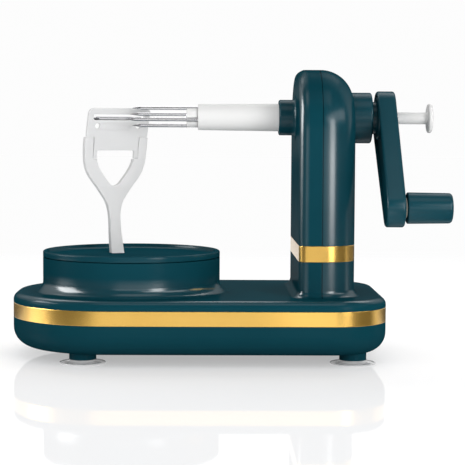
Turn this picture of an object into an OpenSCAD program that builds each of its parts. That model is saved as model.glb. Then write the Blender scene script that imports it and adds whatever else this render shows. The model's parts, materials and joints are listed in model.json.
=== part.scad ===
// Crank fruit peeler.
// +X runs along the fork axis towards the crank, -Y faces the viewer, +Z is up.
// The origin lies on the table, under the middle of the overall length.

/* [Base] */
// Length of the base
base_l = 227.4; // [216:0.2:260]
// Width of the base
base_w = 134.6; // [126:0.2:150]
// Height of the base's underside above the table
base_z = 6.4; // [6:0.1:9]
// Height of the base from its underside to its top
base_h = 33; // [32:0.5:40]
// Corner radius at the turntable end, in plan
left_corner_r = 60; // [54:1:62]
// Corner radius at the crank end, in plan
right_corner_r = 34; // [28:1:40]
// Radius of the base's lower edge
bottom_edge_r = 12; // [8:0.5:13]
// Radius of the base's upper edge
top_edge_r = 4.5; // [3:0.5:5]
// Wall of the moulded shells
wall = 2.4; // [2:0.1:3]
// Height of the gold band above the base's underside
band_up = 18.2; // [16:0.1:20]
// Height of the gold band round the base
band_h = 8.9; // [7:0.1:9]
// Thickness of the gold bands
band_t = 0.8; // [0.6:0.1:1.2]
// Diameter of the base screws' thread
base_screw_d = 3; // [2.5:0.5:3.5]

/* [Turntable] */
// Distance from the base's end to the turntable's axis
tray_in = 72.3; // [68:0.1:76]
// Diameter of the turntable and its drum
tray_d = 110; // [100:1:114]
// Height of the turntable's rim above the base's top
drum_h = 24.9; // [22:0.1:30]
// Height of the turntable's rim
rim_h = 3.6; // [3.2:0.1:5]
// Thickness of the rim
rim_t = 2.8; // [2:0.1:4]
// Depth of the dish inside the rim
dish_depth = 2.8; // [2:0.1:3.2]
// Radius of the hollow curve where the drum meets the base
drum_fillet_r = 6; // [3:0.5:8]
// Radius of the turntable's spindle
spindle_r = 5; // [4:0.5:6]

/* [Pillar] */
// Thickness of the pillar along the fork axis
pillar_l = 34.7; // [32:0.1:40]
// Width of the pillar across the base
pillar_w = 93.4; // [84:0.2:100]
// Distance from the base's crank end to the pillar
pillar_in = 18.7; // [15:0.1:24]
// Height of the pillar's top above the table
pillar_top = 176.3; // [168:0.1:186]
// Radius of the arch at the pillar's top
arch_r = 38; // [34:1:40]
// Edge radius on the fork side
fork_edge_r = 5; // [3:0.5:7]
// Edge radius on the crank side
crank_edge_r = 20; // [12:0.5:20]
// Distance of the shell joint from the fork side
seam_in = 13.8; // [12:0.1:18]
// Height of the pillar's gold band above the base's top
collar_up = 21.3; // [18:0.1:26]
// Height of the pillar's gold band
collar_h = 9.7; // [8:0.1:12]
// Radius of the hollow curve at the pillar's foot
root_fillet_r = 4; // [2:0.5:6]

/* [Fork] */
// Height of the fork axis above the table
axis_z = 147.1; // [142:0.1:150]
// Radius of the fork tube at its mouth
tube_r0 = 8; // [7.6:0.05:8.2]
// Radius of the fork tube at the pillar
tube_r1 = 8.55; // [8.3:0.05:8.8]
// Distance from the turntable's axis to the tube's mouth
mouth_out = 41; // [38:0.5:44]
// Radius of the boss round the tube
boss_r = 11; // [10.5:0.1:13]
// Length of the boss
boss_l = 10.6; // [8:0.1:14]
// Radius of the ring on which the prongs stand
prong_ring_r = 5.65; // [5.4:0.05:5.8]
// Radius of one prong
prong_r = 1.1; // [0.8:0.05:1.2]
// Angle of the first prong
prong_phase = 73; // [0:1:90]
// Radius of the ejector block
block_r = 6.3; // [5.6:0.1:6.6]
// Length of the ejector block
block_l = 7; // [5:0.5:9]
// Travel of the ejector
eject_travel = 16; // [10:1:18]

/* [Crank] */
// Radius of the hub on the crank side
hub_r = 15.7; // [14:0.1:17]
// Length of the hub
hub_l = 12.2; // [10:0.1:16]
// Radius of the crank's neck
neck_r = 10; // [9:0.1:11]
// Visible gap between the hub and the crank arm
neck_gap = 3.1; // [2:0.1:5]
// Distance from the crank's axis to the grip's axis
crank_r = 75.5; // [68:0.5:82]
// Angle of the crank at rest, from straight down towards the viewer
crank_rest = 45; // [0:1:90]
// Thickness of the crank arm
arm_t = 11.2; // [9:0.1:13]
// Radius of the arm at its hub end
arm_hub_r = 16.6; // [14:0.1:18]
// Radius of the arm at its grip end
arm_end_r = 11.4; // [10:0.1:13]
// Gap between the arm and the grip
grip_gap = 1.5; // [1:0.1:2]
// Length of the grip
grip_l = 27.8; // [24:0.1:34]
// Radius of the grip
grip_r = 9.3; // [8:0.1:10]
// Radius of the ejector's stem
stem_r = 3.65; // [3.4:0.05:3.8]
// Length of the ejector's stem that stands out of the arm
stem_out = 21; // [20:0.5:26]
// Radius of the ejector's button
button_r = 9.1; // [7:0.1:11]
// Thickness of the ejector's button
button_t = 2.8; // [2:0.1:4]

/* [Peeler] */
// Turn of the peeler about the turntable's axis at rest
peeler_turn = 18; // [10:1:22]
// Distance of the peeler's foot behind the turntable's axis, in its own frame
foot_back = 15.9; // [15:0.1:20]
// Distance of the peeler's foot to the left of the axis, in its own frame
foot_left = 5.5; // [0:0.1:8]
// Height of the blade carrier above the handle's arms
carrier_up = 18.1; // [15:0.1:21]
// Height of the handle's arms above the dish
arms_h = 72.9; // [68:0.1:76]
// Half width across the handle's arms
arms_half = 20.2; // [18:0.1:23]
// Half width of the handle's foot
foot_half = 4.1; // [3.5:0.1:5]
// Thickness of the handle
handle_t = 6; // [5:0.1:7]
// Thickness of the blade carrier
carrier_t = 2.6; // [2:0.1:3]
// How far the handle bows backwards
bow = 8.5; // [6:0.1:9]
// Radius of the two holes in the carrier
carrier_hole_r = 1.7; // [1.3:0.1:2]
// Width of the blade
blade_w = 2.2; // [2:0.1:2.6]

/* [Feet] */
// Radius of a suction cup
cup_r = 13.9; // [11:0.1:15]
// Radius of the post above each cup
post_r = 8.1; // [7:0.1:9]
// Height of the post's lower face above the table
post_z = 2.4; // [2.2:0.1:3]
// Distance of the feet from the base's long sides
foot_in = 23.3; // [21:0.1:29]
// Distance of the left feet from the base's end
left_foot_in = 45.3; // [42:0.1:56]
// Distance of the right feet from the base's end
right_foot_in = 20.6; // [19:0.1:26]

/* [Hidden] */
$fn = 72;

// Colours
teal = "#15404d";
gold = "#dcb65f";
white_plastic = "#ececec";
grey_plastic = "#dadada";
steel = "#b4b7ba";
nylon = "#e8e4d8";
clear_grey = "#c9cbcc";

// Clearances
fit_gap = 0.05;      // running fit of a shaft in its bore
free_gap = 0.3;      // gap between pieces that move past each other
over = 1;            // overrun of cuts
edge = 1.1;          // small edge rounding

// Places along X
overall_l = base_l - pillar_in + hub_l + neck_gap + arm_t + grip_gap + grip_l;
base_x0 = -overall_l / 2;
base_x1 = base_x0 + base_l;
tray_x = base_x0 + tray_in;
pillar_x1 = base_x1 - pillar_in;
pillar_x0 = pillar_x1 - pillar_l;
seam_x = pillar_x0 + seam_in;
boss_x0 = pillar_x0 - boss_l;
mouth_x = tray_x + mouth_out;
hub_x1 = pillar_x1 + hub_l;
arm_x0 = hub_x1 + neck_gap;
arm_x1 = arm_x0 + arm_t;
grip_x0 = arm_x1 + grip_gap;
grip_x1 = grip_x0 + grip_l;

// Heights
base_top = base_z + base_h;
band_z = base_z + band_up;
split_z = band_z + band_h / 2;
rim_z = base_top + drum_h;
dish_z = rim_z - dish_depth;
collar_z = base_top + collar_up;
collar_mid = collar_z + collar_h / 2;

// Turntable and drum
tray_r = tray_d / 2;
tray_floor_t = 2.5;                   // thickness of the dish's floor
tray_gap = 0.5;                       // visible gap under the rim
drum_top = rim_z - rim_h - tray_gap;
deck_t = 3;                           // thickness of the deck in the drum
deck_z = base_top + 8;                // underside of the deck
glide_h = 3;                          // height of the glide ring
glide_r = 44;                         // middle radius of the glide ring
glide_w = 3;                          // width of the glide ring
rib_w = 2;                            // width of the rib that runs on the glide ring
deck_boss_r = spindle_r + 4;          // boss round the spindle
deck_boss_h = 2.5;                    // depth of that boss under the deck
spindle_z = deck_z - deck_boss_h - free_gap;
washer_t = 1.2;                       // thickness of the flat washers
screw_head_r = 3.4;                   // radius of the turntable screw's head
screw_head_h = 2.4;                   // height of the turntable screw's head
screw_r = 1.5;                        // radius of the turntable screw
screw_in = 7;                         // depth of the turntable screw in the spindle

// Shaft line
shaft_r = 5;                          // outer radius of the shaft at the fork
shaft_big_r = 6.2;                    // outer radius of the shaft at the crank
rod_r = 1.8;                          // radius of the ejector rod
mouth_depth = 15;                     // depth of the tube's wide mouth
mouth_play = 0.45;                    // gap between the prongs and the mouth's wall
mouth_r = prong_ring_r + prong_r + mouth_play;
tube_x1 = pillar_x0 - wall / 2;       // end of the fork tube in the boss
bush_flange_t = 1.5;                  // thickness of the bushes' flanges
bush_l = 10;                          // length of the bushes
bush_wall = 2.5;                      // wall of the bushes
bush0_x0 = tube_x1 + free_gap;
bush0_x1 = bush0_x0 + bush_l;
shoulder_x = bush0_x1 + bush_flange_t + free_gap;
bush1_out = 1.7;                      // how far the crank side's bush stands out of the pillar
bush1_x1 = pillar_x1 + bush1_out;
bush1_x0 = bush1_x1 - 1.5 * bush_l;
ring_x0 = bush1_x1 + washer_t + fit_gap * 2;
ring_t = 1.2;                         // thickness of the retaining ring
ring_groove = 0.8;                    // depth of the retaining ring's groove
neck_x0 = ring_x0 + ring_t + free_gap;
socket_depth = arm_t - 3;             // how far the shaft reaches into the arm
shaft_x1 = arm_x0 + socket_depth;
stem_in = 8;                          // length of the stem inside the arm and shaft
stem_x0 = arm_x1 - stem_in;
spring_short = 11;                    // length of the return spring when it is pressed
pocket_x0 = stem_x0 - eject_travel - spring_short;
button_x0 = arm_x1 + stem_out;
pin_r = 1.5;                          // radius of the crank's cross pin

// Prongs: how far each tip stands past the turntable's axis
prong_tips = [0, 1.5, 0, 4] * prong_r / 1.1;
prong_point = 5 * prong_r;            // length of a prong's point

peeler_h = arms_h + carrier_up;
foot_y = base_w / 2 - foot_in;

// Base plan centres
lcx = base_x0 + left_corner_r;
rcx = base_x1 - right_corner_r;
lcy = base_w / 2 - left_corner_r;
rcy = base_w / 2 - right_corner_r;

module on_axis(x = 0) {
    translate([x, 0, axis_z]) rotate([0, 90, 0]) children();
}

// A tube or disc along the fork axis from x0 to x1
module rod_x(x0, x1, r) {
    on_axis(x0) cylinder(h = x1 - x0, r = r);
}

// Outline of the base, moved in by inset
module base_plan(inset = 0) {
    w = base_w / 2 - inset;
    x0 = base_x0 + inset;
    x1 = base_x1 - inset;
    for (s = [-1, 1]) {
        translate([lcx, s * lcy]) circle(r = left_corner_r - inset);
        translate([rcx, s * rcy]) circle(r = right_corner_r - inset);
    }
    polygon([[x0, -lcy], [lcx, -w], [rcx, -w], [x1, -rcy], [x1, rcy], [rcx, w], [lcx, w], [x0, lcy]]);
}

// Upright section through an edge: d deep, from z0 to z1, rounded by rb below and rt above
module edge_section(d, z0, z1, rb, rt) {
    h = z1 - z0;
    big = max(rb, rt);
    translate([0, z0]) square([d - big, h]);
    translate([0, z0 + rb]) square([d, h - rb - rt]);
    if (rb > 0) intersection() {
        translate([0, z0]) square([d, h]);
        union() {
            translate([d - rb, z0 + rb]) circle(r = rb);
            translate([0, z0]) square([d - rb, h]);
        }
    }
    if (rt > 0) intersection() {
        translate([0, z0]) square([d, h]);
        union() {
            translate([d - rt, z1 - rt]) circle(r = rt);
            translate([0, z0]) square([d - rt, h]);
        }
    }
}

// Slab with the base's plan and rounded edges
module base_slab(inset, z0, z1, rb, rt) {
    w = base_w / 2 - inset;
    m = min(left_corner_r, right_corner_r) - inset;
    for (s = [0, 1]) mirror([0, s, 0]) {
        translate([lcx, -lcy, 0]) rotate([0, 0, 180])
            rotate_extrude(angle = 90) edge_section(left_corner_r - inset, z0, z1, rb, rt);
        translate([rcx, -rcy, 0]) rotate([0, 0, 270])
            rotate_extrude(angle = 90) edge_section(right_corner_r - inset, z0, z1, rb, rt);
        translate([lcx, m - w, 0]) rotate([90, 0, 90]) mirror([1, 0, 0])
            linear_extrude(rcx - lcx) edge_section(m, z0, z1, rb, rt);
    }
    translate([lcx, lcy, 0]) rotate([90, 0, 0]) mirror([1, 0, 0])
        linear_extrude(2 * lcy) edge_section(left_corner_r - inset, z0, z1, rb, rt);
    translate([rcx, rcy, 0]) rotate([90, 0, 0])
        linear_extrude(2 * rcy) edge_section(right_corner_r - inset, z0, z1, rb, rt);
    translate([lcx, m - w, z0]) cube([rcx - lcx, 2 * (w - m), z1 - z0]);
}

// Plan of the pillar, moved in by inset
module pillar_plan(inset = 0) {
    rl = max(fork_edge_r - inset, edge);
    rr = max(crank_edge_r - inset, edge);
    x0 = pillar_x0 + inset;
    x1 = pillar_x1 - inset;
    w = pillar_w / 2 - inset;
    intersection() {
        union() {
            for (s = [-1, 1]) {
                translate([x0 + rl, s * (w - rl)]) circle(r = rl);
                translate([x1 - rr, s * (w - rr)]) circle(r = rr);
            }
            polygon([[x0, rl - w], [x0 + rl, -w], [x1 - rr, -w], [x1, rr - w],
                [x1, w - rr], [x1 - rr, w], [x0 + rl, w], [x0, w - rl]]);
        }
        translate([x0, -w]) square([x1 - x0, 2 * w]);
    }
}

// Section through the pillar's edge: depth d along X, thickness of the pillar along Y
module pillar_section(d, inset) {
    rl = max(fork_edge_r - inset, edge);
    rr = max(crank_edge_r - inset, edge);
    x0 = pillar_x0 + inset;
    x1 = pillar_x1 - inset;
    intersection() {
        union() {
            translate([d - rl, x0 + rl]) circle(r = rl);
            translate([d - rr, x1 - rr]) circle(r = rr);
            polygon([[0, x0], [d - rl, x0], [d, x0 + rl], [d, x1 - rr], [d - rr, x1], [0, x1]]);
        }
        translate([-overall_l, x0]) square([2 * overall_l, x1 - x0]);
    }
}

// Solid of the pillar, with its arched top, moved in by inset
module pillar_form(inset, z0) {
    ra = arch_r - inset;
    w = pillar_w / 2 - inset;
    zc = pillar_top - arch_r;
    for (s = [0, 1]) mirror([0, s, 0]) {
        translate([0, w - ra, zc]) rotate([90, 0, 90])
            rotate_extrude(angle = 90) intersection() {
                pillar_section(ra, inset);
                translate([0, -overall_l]) square([ra, 2 * overall_l]);
            }
        translate([0, w - ra, z0]) linear_extrude(zc - z0) intersection() {
            rotate([0, 0, 90]) mirror([0, 1, 0]) pillar_section(ra, inset);
            translate([-overall_l, 0]) square([2 * overall_l, ra]);
        }
    }
    translate([0, w - ra, zc]) rotate([90, 0, 0]) linear_extrude(2 * (w - ra)) intersection() {
        rotate([0, 0, 90]) mirror([0, 1, 0]) pillar_section(ra, inset);
        translate([-overall_l, 0]) square([2 * overall_l, ra]);
    }
    translate([pillar_x0 + inset, ra - w, z0]) cube([pillar_l - 2 * inset, 2 * (w - ra), zc - z0]);
}

// Places of the base screws
post_r_in = 4;            // radius of the screw posts
base_screw_in = 17;       // distance of the middle screws from the base's long sides
left_screw_in = 16;       // distance of the left screws from the base's end
left_screw_y = 18;        // half distance between the left screws
middle_screw_out = 15;    // distance of the middle screws from the drum
right_screw_in = 12;      // distance of the right screws from the base's end
right_screw_y = 22;       // half distance between the right screws
base_screw_x = [base_x0 + left_screw_in, tray_x + tray_r + middle_screw_out, base_x1 - right_screw_in];
base_screw_y = [left_screw_y, base_w / 2 - base_screw_in, right_screw_y];
module base_screw_places() {
    for (i = [0:2]) for (s = [-1, 1]) translate([base_screw_x[i], s * base_screw_y[i], 0]) children();
}

// Places of the pillar screws, which hold the shells from below
pillar_screw_side = 13;   // distance of these screws from the pillar's narrow sides
pillar_screw_out = 6.5;   // distance of these screws from the joint of the shells
pillar_screw_y = pillar_w / 2 - pillar_screw_side;
pillar_screw_x = [seam_x - pillar_screw_out, seam_x + pillar_screw_out];
pillar_tab_h = 5;         // thickness of the shells' screw tabs
module pillar_screw_places() {
    for (x = pillar_screw_x) for (s = [-1, 1]) translate([x, s * pillar_screw_y, 0]) children();
}

// Places of the feet
module feet_places() {
    for (s = [-1, 1]) {
        translate([base_x0 + left_foot_in, s * foot_y, 0]) children();
        translate([base_x1 - right_foot_in, s * foot_y, 0]) children();
    }
}

module root_fillet() {
    r = root_fillet_r;
    rl = fork_edge_r;
    rr = crank_edge_r;
    w = pillar_w / 2;
    for (s = [0, 1]) mirror([0, s, 0]) {
        translate([pillar_x0 + rl, rl - w, base_top]) rotate([0, 0, 180])
            rotate_extrude(angle = 90) translate([rl, 0]) drum_curve(r);
        translate([pillar_x1 - rr, rr - w, base_top]) rotate([0, 0, 270])
            rotate_extrude(angle = 90) translate([rr, 0]) drum_curve(r);
        translate([pillar_x0 + rl, -w, base_top]) rotate([90, 0, 90]) mirror([1, 0, 0])
            linear_extrude(pillar_l - rl - rr) drum_curve(r);
    }
    translate([pillar_x0, w - rl, base_top]) rotate([90, 0, 0]) mirror([1, 0, 0])
        linear_extrude(2 * (w - rl)) drum_curve(r);
    translate([pillar_x1, w - rr, base_top]) rotate([90, 0, 0])
        linear_extrude(2 * (w - rr)) drum_curve(r);
}

// What the drum and the pillar's foot leave open in the base's top
module top_openings() {
    translate([tray_x, 0, split_z]) cylinder(h = base_top - split_z + over, r = tray_r - wall);
    translate([0, 0, split_z]) linear_extrude(base_top - split_z + over) pillar_plan(wall);
}

module base_upper() {
    color(teal) difference() {
        union() {
            difference() {
                base_slab(0, split_z, base_top, 0, top_edge_r);
                base_slab(wall, split_z - over, base_top - wall, 0, top_edge_r - wall / 2);
            }
            intersection() {
                base_screw_places() translate([0, 0, split_z])
                    cylinder(h = base_top - wall / 2 - split_z, r = post_r_in);
                base_slab(wall / 2, split_z, base_top - wall / 2, 0, top_edge_r);
            }
        }
        top_openings();
        translate([0, 0, split_z - over]) linear_extrude(band_z + band_h - split_z + over) difference() {
            base_plan(-over);
            base_plan(band_t);
        }
        base_screw_places() translate([0, 0, split_z - over])
            cylinder(h = base_top - split_z - 2 * wall, r = base_screw_d / 2);
    }
}

module base_drum() {
    color(teal) difference() {
        union() {
            translate([tray_x, 0, base_top]) cylinder(h = drum_top - base_top, r = tray_r);
            translate([tray_x, 0, base_top])
                rotate_extrude() translate([tray_r, 0]) drum_curve(drum_fillet_r);
            translate([tray_x, 0, deck_z - deck_boss_h]) cylinder(h = deck_boss_h + wall / 2, r = deck_boss_r);
        }
        translate([tray_x, 0, deck_z + deck_t]) cylinder(h = rim_z - deck_z, r = tray_r - wall);
        difference() {
            translate([tray_x, 0, base_top - over]) cylinder(h = deck_z - base_top + over, r = tray_r - wall);
            translate([tray_x, 0, base_top - 2 * over]) cylinder(h = rim_z - base_top, r = deck_boss_r);
        }
        translate([tray_x, 0, base_top - over]) cylinder(h = deck_z - deck_boss_h - base_top + over, r = tray_r - wall);
        translate([tray_x, 0, deck_z - deck_boss_h - over])
            cylinder(h = deck_t + deck_boss_h + 2 * over, r = spindle_r + fit_gap);
    }
}

// Hollow curve that starts on the base's top, against a wall at zero
module drum_curve(r) {
    difference() {
        translate([-edge, 0]) square([r + edge, r]);
        translate([r, r]) circle(r = r);
    }
}

module pillar_foot() {
    color(teal) difference() {
        union() {
            translate([0, 0, base_top]) linear_extrude(collar_mid - base_top) pillar_plan(0);
            root_fillet();
        }
        translate([0, 0, base_top - over]) linear_extrude(collar_mid - wall - base_top + over) pillar_plan(wall);
        translate([0, 0, collar_z]) linear_extrude(collar_h) difference() {
            pillar_plan(-over);
            pillar_plan(band_t);
        }
        translate([0, 0, collar_mid - wall - over]) linear_extrude(wall + 2 * over) for (i = [0, 1])
            translate([i == 0 ? pillar_x0 + 2 * wall : seam_x + wall, 3 * post_r_in - pillar_screw_y])
                square([(i == 0 ? seam_in : pillar_l - seam_in) - 3 * wall, 2 * (pillar_screw_y - 3 * post_r_in)]);
        pillar_screw_places() translate([0, 0, collar_mid - wall - pillar_tab_h])
            cylinder(h = wall + pillar_tab_h + over, r = base_screw_d / 2 + free_gap);
    }
}

module base_lower() {
    floor_top = base_z + wall;
    color(teal) difference() {
        union() {
            difference() {
                base_slab(0, base_z, split_z, bottom_edge_r, 0);
                base_slab(wall, floor_top, split_z + over, bottom_edge_r - wall, 0);
                translate([0, 0, band_z]) linear_extrude(band_h) difference() {
                    base_plan(-over);
                    base_plan(band_t);
                }
            }
            base_screw_places() translate([0, 0, base_z + wall / 2])
                cylinder(h = split_z - base_z - wall / 2, r = post_r_in);
            feet_places() translate([0, 0, post_z])
                cylinder(h = base_z + bottom_edge_r / 2 - post_z, r = post_r);
        }
        base_screw_places() {
            translate([0, 0, base_z - over]) cylinder(h = split_z, r = base_screw_d / 2 + free_gap);
            translate([0, 0, base_z - over])
                cylinder(h = split_z - base_z - post_r_in + over, r = base_screw_d);
        }
        feet_places() translate([0, 0, post_z - over])
            cylinder(h = plug_h + over, r = plug_r + fit_gap);
    }
}

module base_band() {
    color(gold) translate([0, 0, band_z]) linear_extrude(band_h) difference() {
        base_plan(0);
        base_plan(band_t);
    }
}

module base_screws() {
    head_z = split_z - post_r_in;
    head_h = 2;
    color(steel) base_screw_places() {
        translate([0, 0, head_z]) cylinder(h = base_top - 2 * wall - over - head_z - 2, r = base_screw_d / 2);
        translate([0, 0, head_z - head_h]) cylinder(h = head_h, r = base_screw_d - free_gap);
    }
}

module pillar_band() {
    color(gold) translate([0, 0, collar_z]) linear_extrude(collar_h) difference() {
        pillar_plan(0);
        pillar_plan(band_t);
    }
}

// One half of the pillar: everything between x0 and x1
module pillar_half(x0, x1) {
    intersection() {
        difference() {
            pillar_form(0, collar_mid);
            pillar_form(wall, collar_mid - over);
            translate([0, 0, collar_mid - over]) linear_extrude(collar_h / 2 + over) difference() {
                pillar_plan(-over);
                pillar_plan(band_t);
            }
        }
        translate([x0, -pillar_w, 0]) cube([x1 - x0, 2 * pillar_w, 2 * pillar_top]);
    }
}

dowel_r = 1.5;            // radius of the locating dowels
dowel_l = 5;              // length of a dowel on each side of the joint
dowel_post_r = 3.5;       // radius of the posts that hold them
dowel_in = 12;            // distance of the dowels from the pillar's sides and from the hub
dowel_up = 18;            // height of the lower dowels above the collar's middle
dowel_places = [[dowel_in - pillar_w / 2, collar_mid + dowel_up],
    [pillar_w / 2 - dowel_in, collar_mid + dowel_up], [0, axis_z - hub_r - dowel_in]];
module dowel_axes() {
    for (p = dowel_places) translate([seam_x, p[0], p[1]]) rotate([0, 90, 0]) children();
}

// Screw tabs at x, joined to the wall at wall_x
module screw_tabs(x, wall_x) {
    r = post_r_in + 1;
    for (s = [-1, 1]) difference() {
        translate([0, s * pillar_screw_y, collar_mid]) {
            translate([x, 0, 0]) cylinder(h = pillar_tab_h, r = r);
            translate([min(x, wall_x), -r, 0]) cube([abs(wall_x - x), 2 * r, pillar_tab_h]);
        }
        translate([x, s * pillar_screw_y, collar_mid - over])
            cylinder(h = pillar_tab_h + 2 * over, r = base_screw_d / 2);
    }
}

bush0_r = shaft_r + bush_wall;        // outer radius of the fork side's bush
bush1_r = shaft_big_r + bush_wall;    // outer radius of the crank side's bush
seat_wall = 3;                        // wall of the bush seats

module pillar_left() {
    color(teal) difference() {
        union() {
            pillar_half(pillar_x0 - over, seam_x);
            rod_x(pillar_x0 + wall / 2, bush0_x1, bush0_r + seat_wall);
            intersection() {
                dowel_axes() translate([0, 0, pillar_x0 + wall / 2 - seam_x])
                    cylinder(h = seam_x - pillar_x0 - wall / 2, r = dowel_post_r);
                pillar_form(wall / 2, collar_mid);
            }
            screw_tabs(pillar_screw_x[0], pillar_x0 + wall / 2);
        }
        rod_x(boss_x0 - over, tube_x1 + fit_gap, tube_r1 + free_gap);
        rod_x(boss_x0, bush0_x1 + over, bush0_r + fit_gap);
        dowel_axes() translate([0, 0, -dowel_l]) cylinder(h = dowel_l + over, r = dowel_r + fit_gap);
    }
}
boss_fillet_r = 3;                    // hollow curve between the boss and the pillar

module pillar_right() {
    color(teal) difference() {
        union() {
            pillar_half(seam_x, pillar_x1 + over);
            rod_x(max(seam_x, pillar_x1 - crank_edge_r), pillar_x1, hub_r);
            intersection() {
                union() {
                    dowel_axes() cylinder(h = pillar_x1 - wall / 2 - seam_x, r = dowel_post_r);
                    screw_tabs(pillar_screw_x[1], pillar_x1 - wall);
                }
                pillar_form(wall / 2, collar_mid);
            }
        }
        rod_x(seam_x, bush1_x1, bush1_r + fit_gap);
        rod_x(seam_x, bush1_x0, hub_r - wall);
        dowel_axes() translate([0, 0, -over]) cylinder(h = dowel_l + over, r = dowel_r + fit_gap);
    }
}

// The round boss on the fork side, with the hollow curve at its root
module pillar_boss() {
    color(teal) difference() {
        union() {
            rod_x(boss_x0 + edge, pillar_x0, boss_r);
            on_axis(boss_x0) cylinder(h = edge * 2, r = boss_r - edge);
            on_axis(boss_x0 + edge) rotate_extrude() translate([boss_r - edge, 0]) circle(r = edge);
            on_axis(pillar_x0) rotate([180, 0, 0])
                rotate_extrude() translate([boss_r, 0]) drum_curve(boss_fillet_r);
        }
        rod_x(boss_x0 - over, pillar_x0 + over, tube_r1 + free_gap);
    }
}

// The round hub on the crank side
module pillar_hub() {
    color(teal) difference() {
        union() {
            rod_x(pillar_x1, hub_x1 - edge, hub_r);
            on_axis(hub_x1 - 2 * edge) cylinder(h = 2 * edge, r = hub_r - edge);
            on_axis(hub_x1 - edge) rotate_extrude() translate([hub_r - edge, 0]) circle(r = edge);
        }
        rod_x(pillar_x1 - over, bush1_x1, bush1_r + fit_gap);
        rod_x(bush1_x1 - fit_gap, hub_x1 + over, neck_r + 1.3 * free_gap);
    }
}

module pillar_screws() {
    head_z = collar_mid - wall;
    color(steel) pillar_screw_places() {
        translate([0, 0, head_z]) cylinder(h = wall + pillar_tab_h - over / 2, r = base_screw_d / 2 - fit_gap);
        translate([0, 0, head_z - wall]) cylinder(h = wall, r = base_screw_d);
    }
}

module pillar_dowels() {
    color(steel) dowel_axes() translate([0, 0, free_gap - dowel_l])
        cylinder(h = 2 * (dowel_l - free_gap), r = dowel_r);
}

module bush_left() {
    color(nylon) difference() {
        union() {
            rod_x(bush0_x0, bush0_x1 + bush_flange_t, bush0_r);
            rod_x(bush0_x1, bush0_x1 + bush_flange_t, bush0_r + bush_flange_t);
        }
        rod_x(bush0_x0 - over, bush0_x1 + bush_flange_t + over, shaft_r + fit_gap);
    }
}

module bush_right() {
    color(nylon) difference() {
        union() {
            rod_x(bush1_x0 - bush_flange_t, bush1_x1, bush1_r);
            rod_x(bush1_x0 - bush_flange_t, bush1_x0, bush1_r + bush_flange_t);
        }
        rod_x(bush1_x0 - bush_flange_t - over, bush1_x1 + over, shaft_big_r + fit_gap);
    }
}

module thrust_washer() {
    color(nylon) difference() {
        rod_x(bush1_x1 + fit_gap, bush1_x1 + washer_t + fit_gap, bush1_r);
        rod_x(bush1_x1, bush1_x1 + 2 * washer_t, shaft_big_r + fit_gap);
    }
}

module retaining_ring() {
    color(steel) difference() {
        rod_x(ring_x0, ring_x0 + ring_t, shaft_big_r + 2);
        rod_x(ring_x0 - over, ring_x0 + ring_t + over, shaft_big_r - ring_groove + fit_gap);
    }
}

module drive_shaft() {
    color(steel) difference() {
        union() {
            rod_x(mouth_x + mouth_depth, shoulder_x + over, shaft_r);
            rod_x(shoulder_x, shaft_x1, shaft_big_r);
        }
        rod_x(mouth_x, shaft_x1 + over, rod_r + free_gap);
        rod_x(pocket_x0, shaft_x1 + over, stem_r + fit_gap);
        difference() {
            rod_x(ring_x0 - fit_gap, ring_x0 + ring_t + fit_gap, shaft_big_r + over);
            rod_x(ring_x0 - over, ring_x0 + ring_t + over, shaft_big_r - ring_groove);
        }
        crank_pin_hole();
    }
}

// Two cross pins, one on each side of the ejector's stem, so that the stem can slide past
crank_pin_x = neck_x0 + pin_r + 1.5;
crank_pin_l = neck_r - stem_r - 2 * free_gap;
module crank_pin_hole() {
    for (s = [0, 180]) translate([crank_pin_x, 0, axis_z]) rotate([s + 90 - crank_rest, 0, 0])
        translate([0, 0, stem_r]) cylinder(h = neck_r, r = pin_r + fit_gap);
}

module crank_pin() {
    color(steel) for (s = [0, 180]) translate([crank_pin_x, 0, axis_z]) rotate([s + 90 - crank_rest, 0, 0])
        translate([0, 0, stem_r + free_gap]) cylinder(h = crank_pin_l, r = pin_r);
}

module fork_tube() {
    l = tube_x1 - mouth_x;
    color(white_plastic) difference() {
        on_axis(mouth_x) rotate_extrude()
            polygon([[0, 0], [tube_r0 - edge / 3, 0], [tube_r0, edge / 3], [tube_r1, boss_x0 - mouth_x],
                [tube_r1, l], [0, l]]);
        rod_x(mouth_x - over, mouth_x + mouth_depth, mouth_r);
        rod_x(mouth_x, tube_x1 + over, shaft_r + fit_gap);
    }
}

// Places of the prongs on their ring
module prong_place(i) {
    a = prong_phase + 90 * i;
    translate([0, -prong_ring_r * cos(a), prong_ring_r * sin(a)]) children();
}

holder_in = 1;                        // how far the prong holder sits inside the mouth
module prong_holder() {
    color(white_plastic) difference() {
        rod_x(mouth_x + holder_in, mouth_x + mouth_depth, mouth_r - fit_gap);
        rod_x(mouth_x, mouth_x + mouth_depth + over, rod_r + free_gap);
        for (i = [0:3]) prong_place(i) rod_x(mouth_x, mouth_x + mouth_depth + over, prong_r + fit_gap / 2);
    }
}

module prong(i) {
    tip_x = tray_x - prong_tips[i];
    color(steel) prong_place(i) {
        rod_x(tip_x + prong_point, mouth_x + mouth_depth - free_gap, prong_r);
        on_axis(tip_x) cylinder(h = prong_point, r1 = prong_r / 8, r2 = prong_r);
    }
}

module prong_top() { prong(0); }
module prong_back() { prong(1); }
module prong_bottom() { prong(2); }
module prong_front() { prong(3); }

module ejector_block() {
    x0 = mouth_x - block_l;
    color(white_plastic) difference() {
        rod_x(x0, mouth_x, block_r);
        rod_x(x0 + wall, mouth_x + over, rod_r + fit_gap);
        for (i = [0:3]) prong_place(i) rod_x(x0 - over, mouth_x + over, prong_r + free_gap);
    }
}

module ejector_rod() {
    color(steel) rod_x(mouth_x - block_l + wall, stem_x0 + stem_in, rod_r);
}

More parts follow.
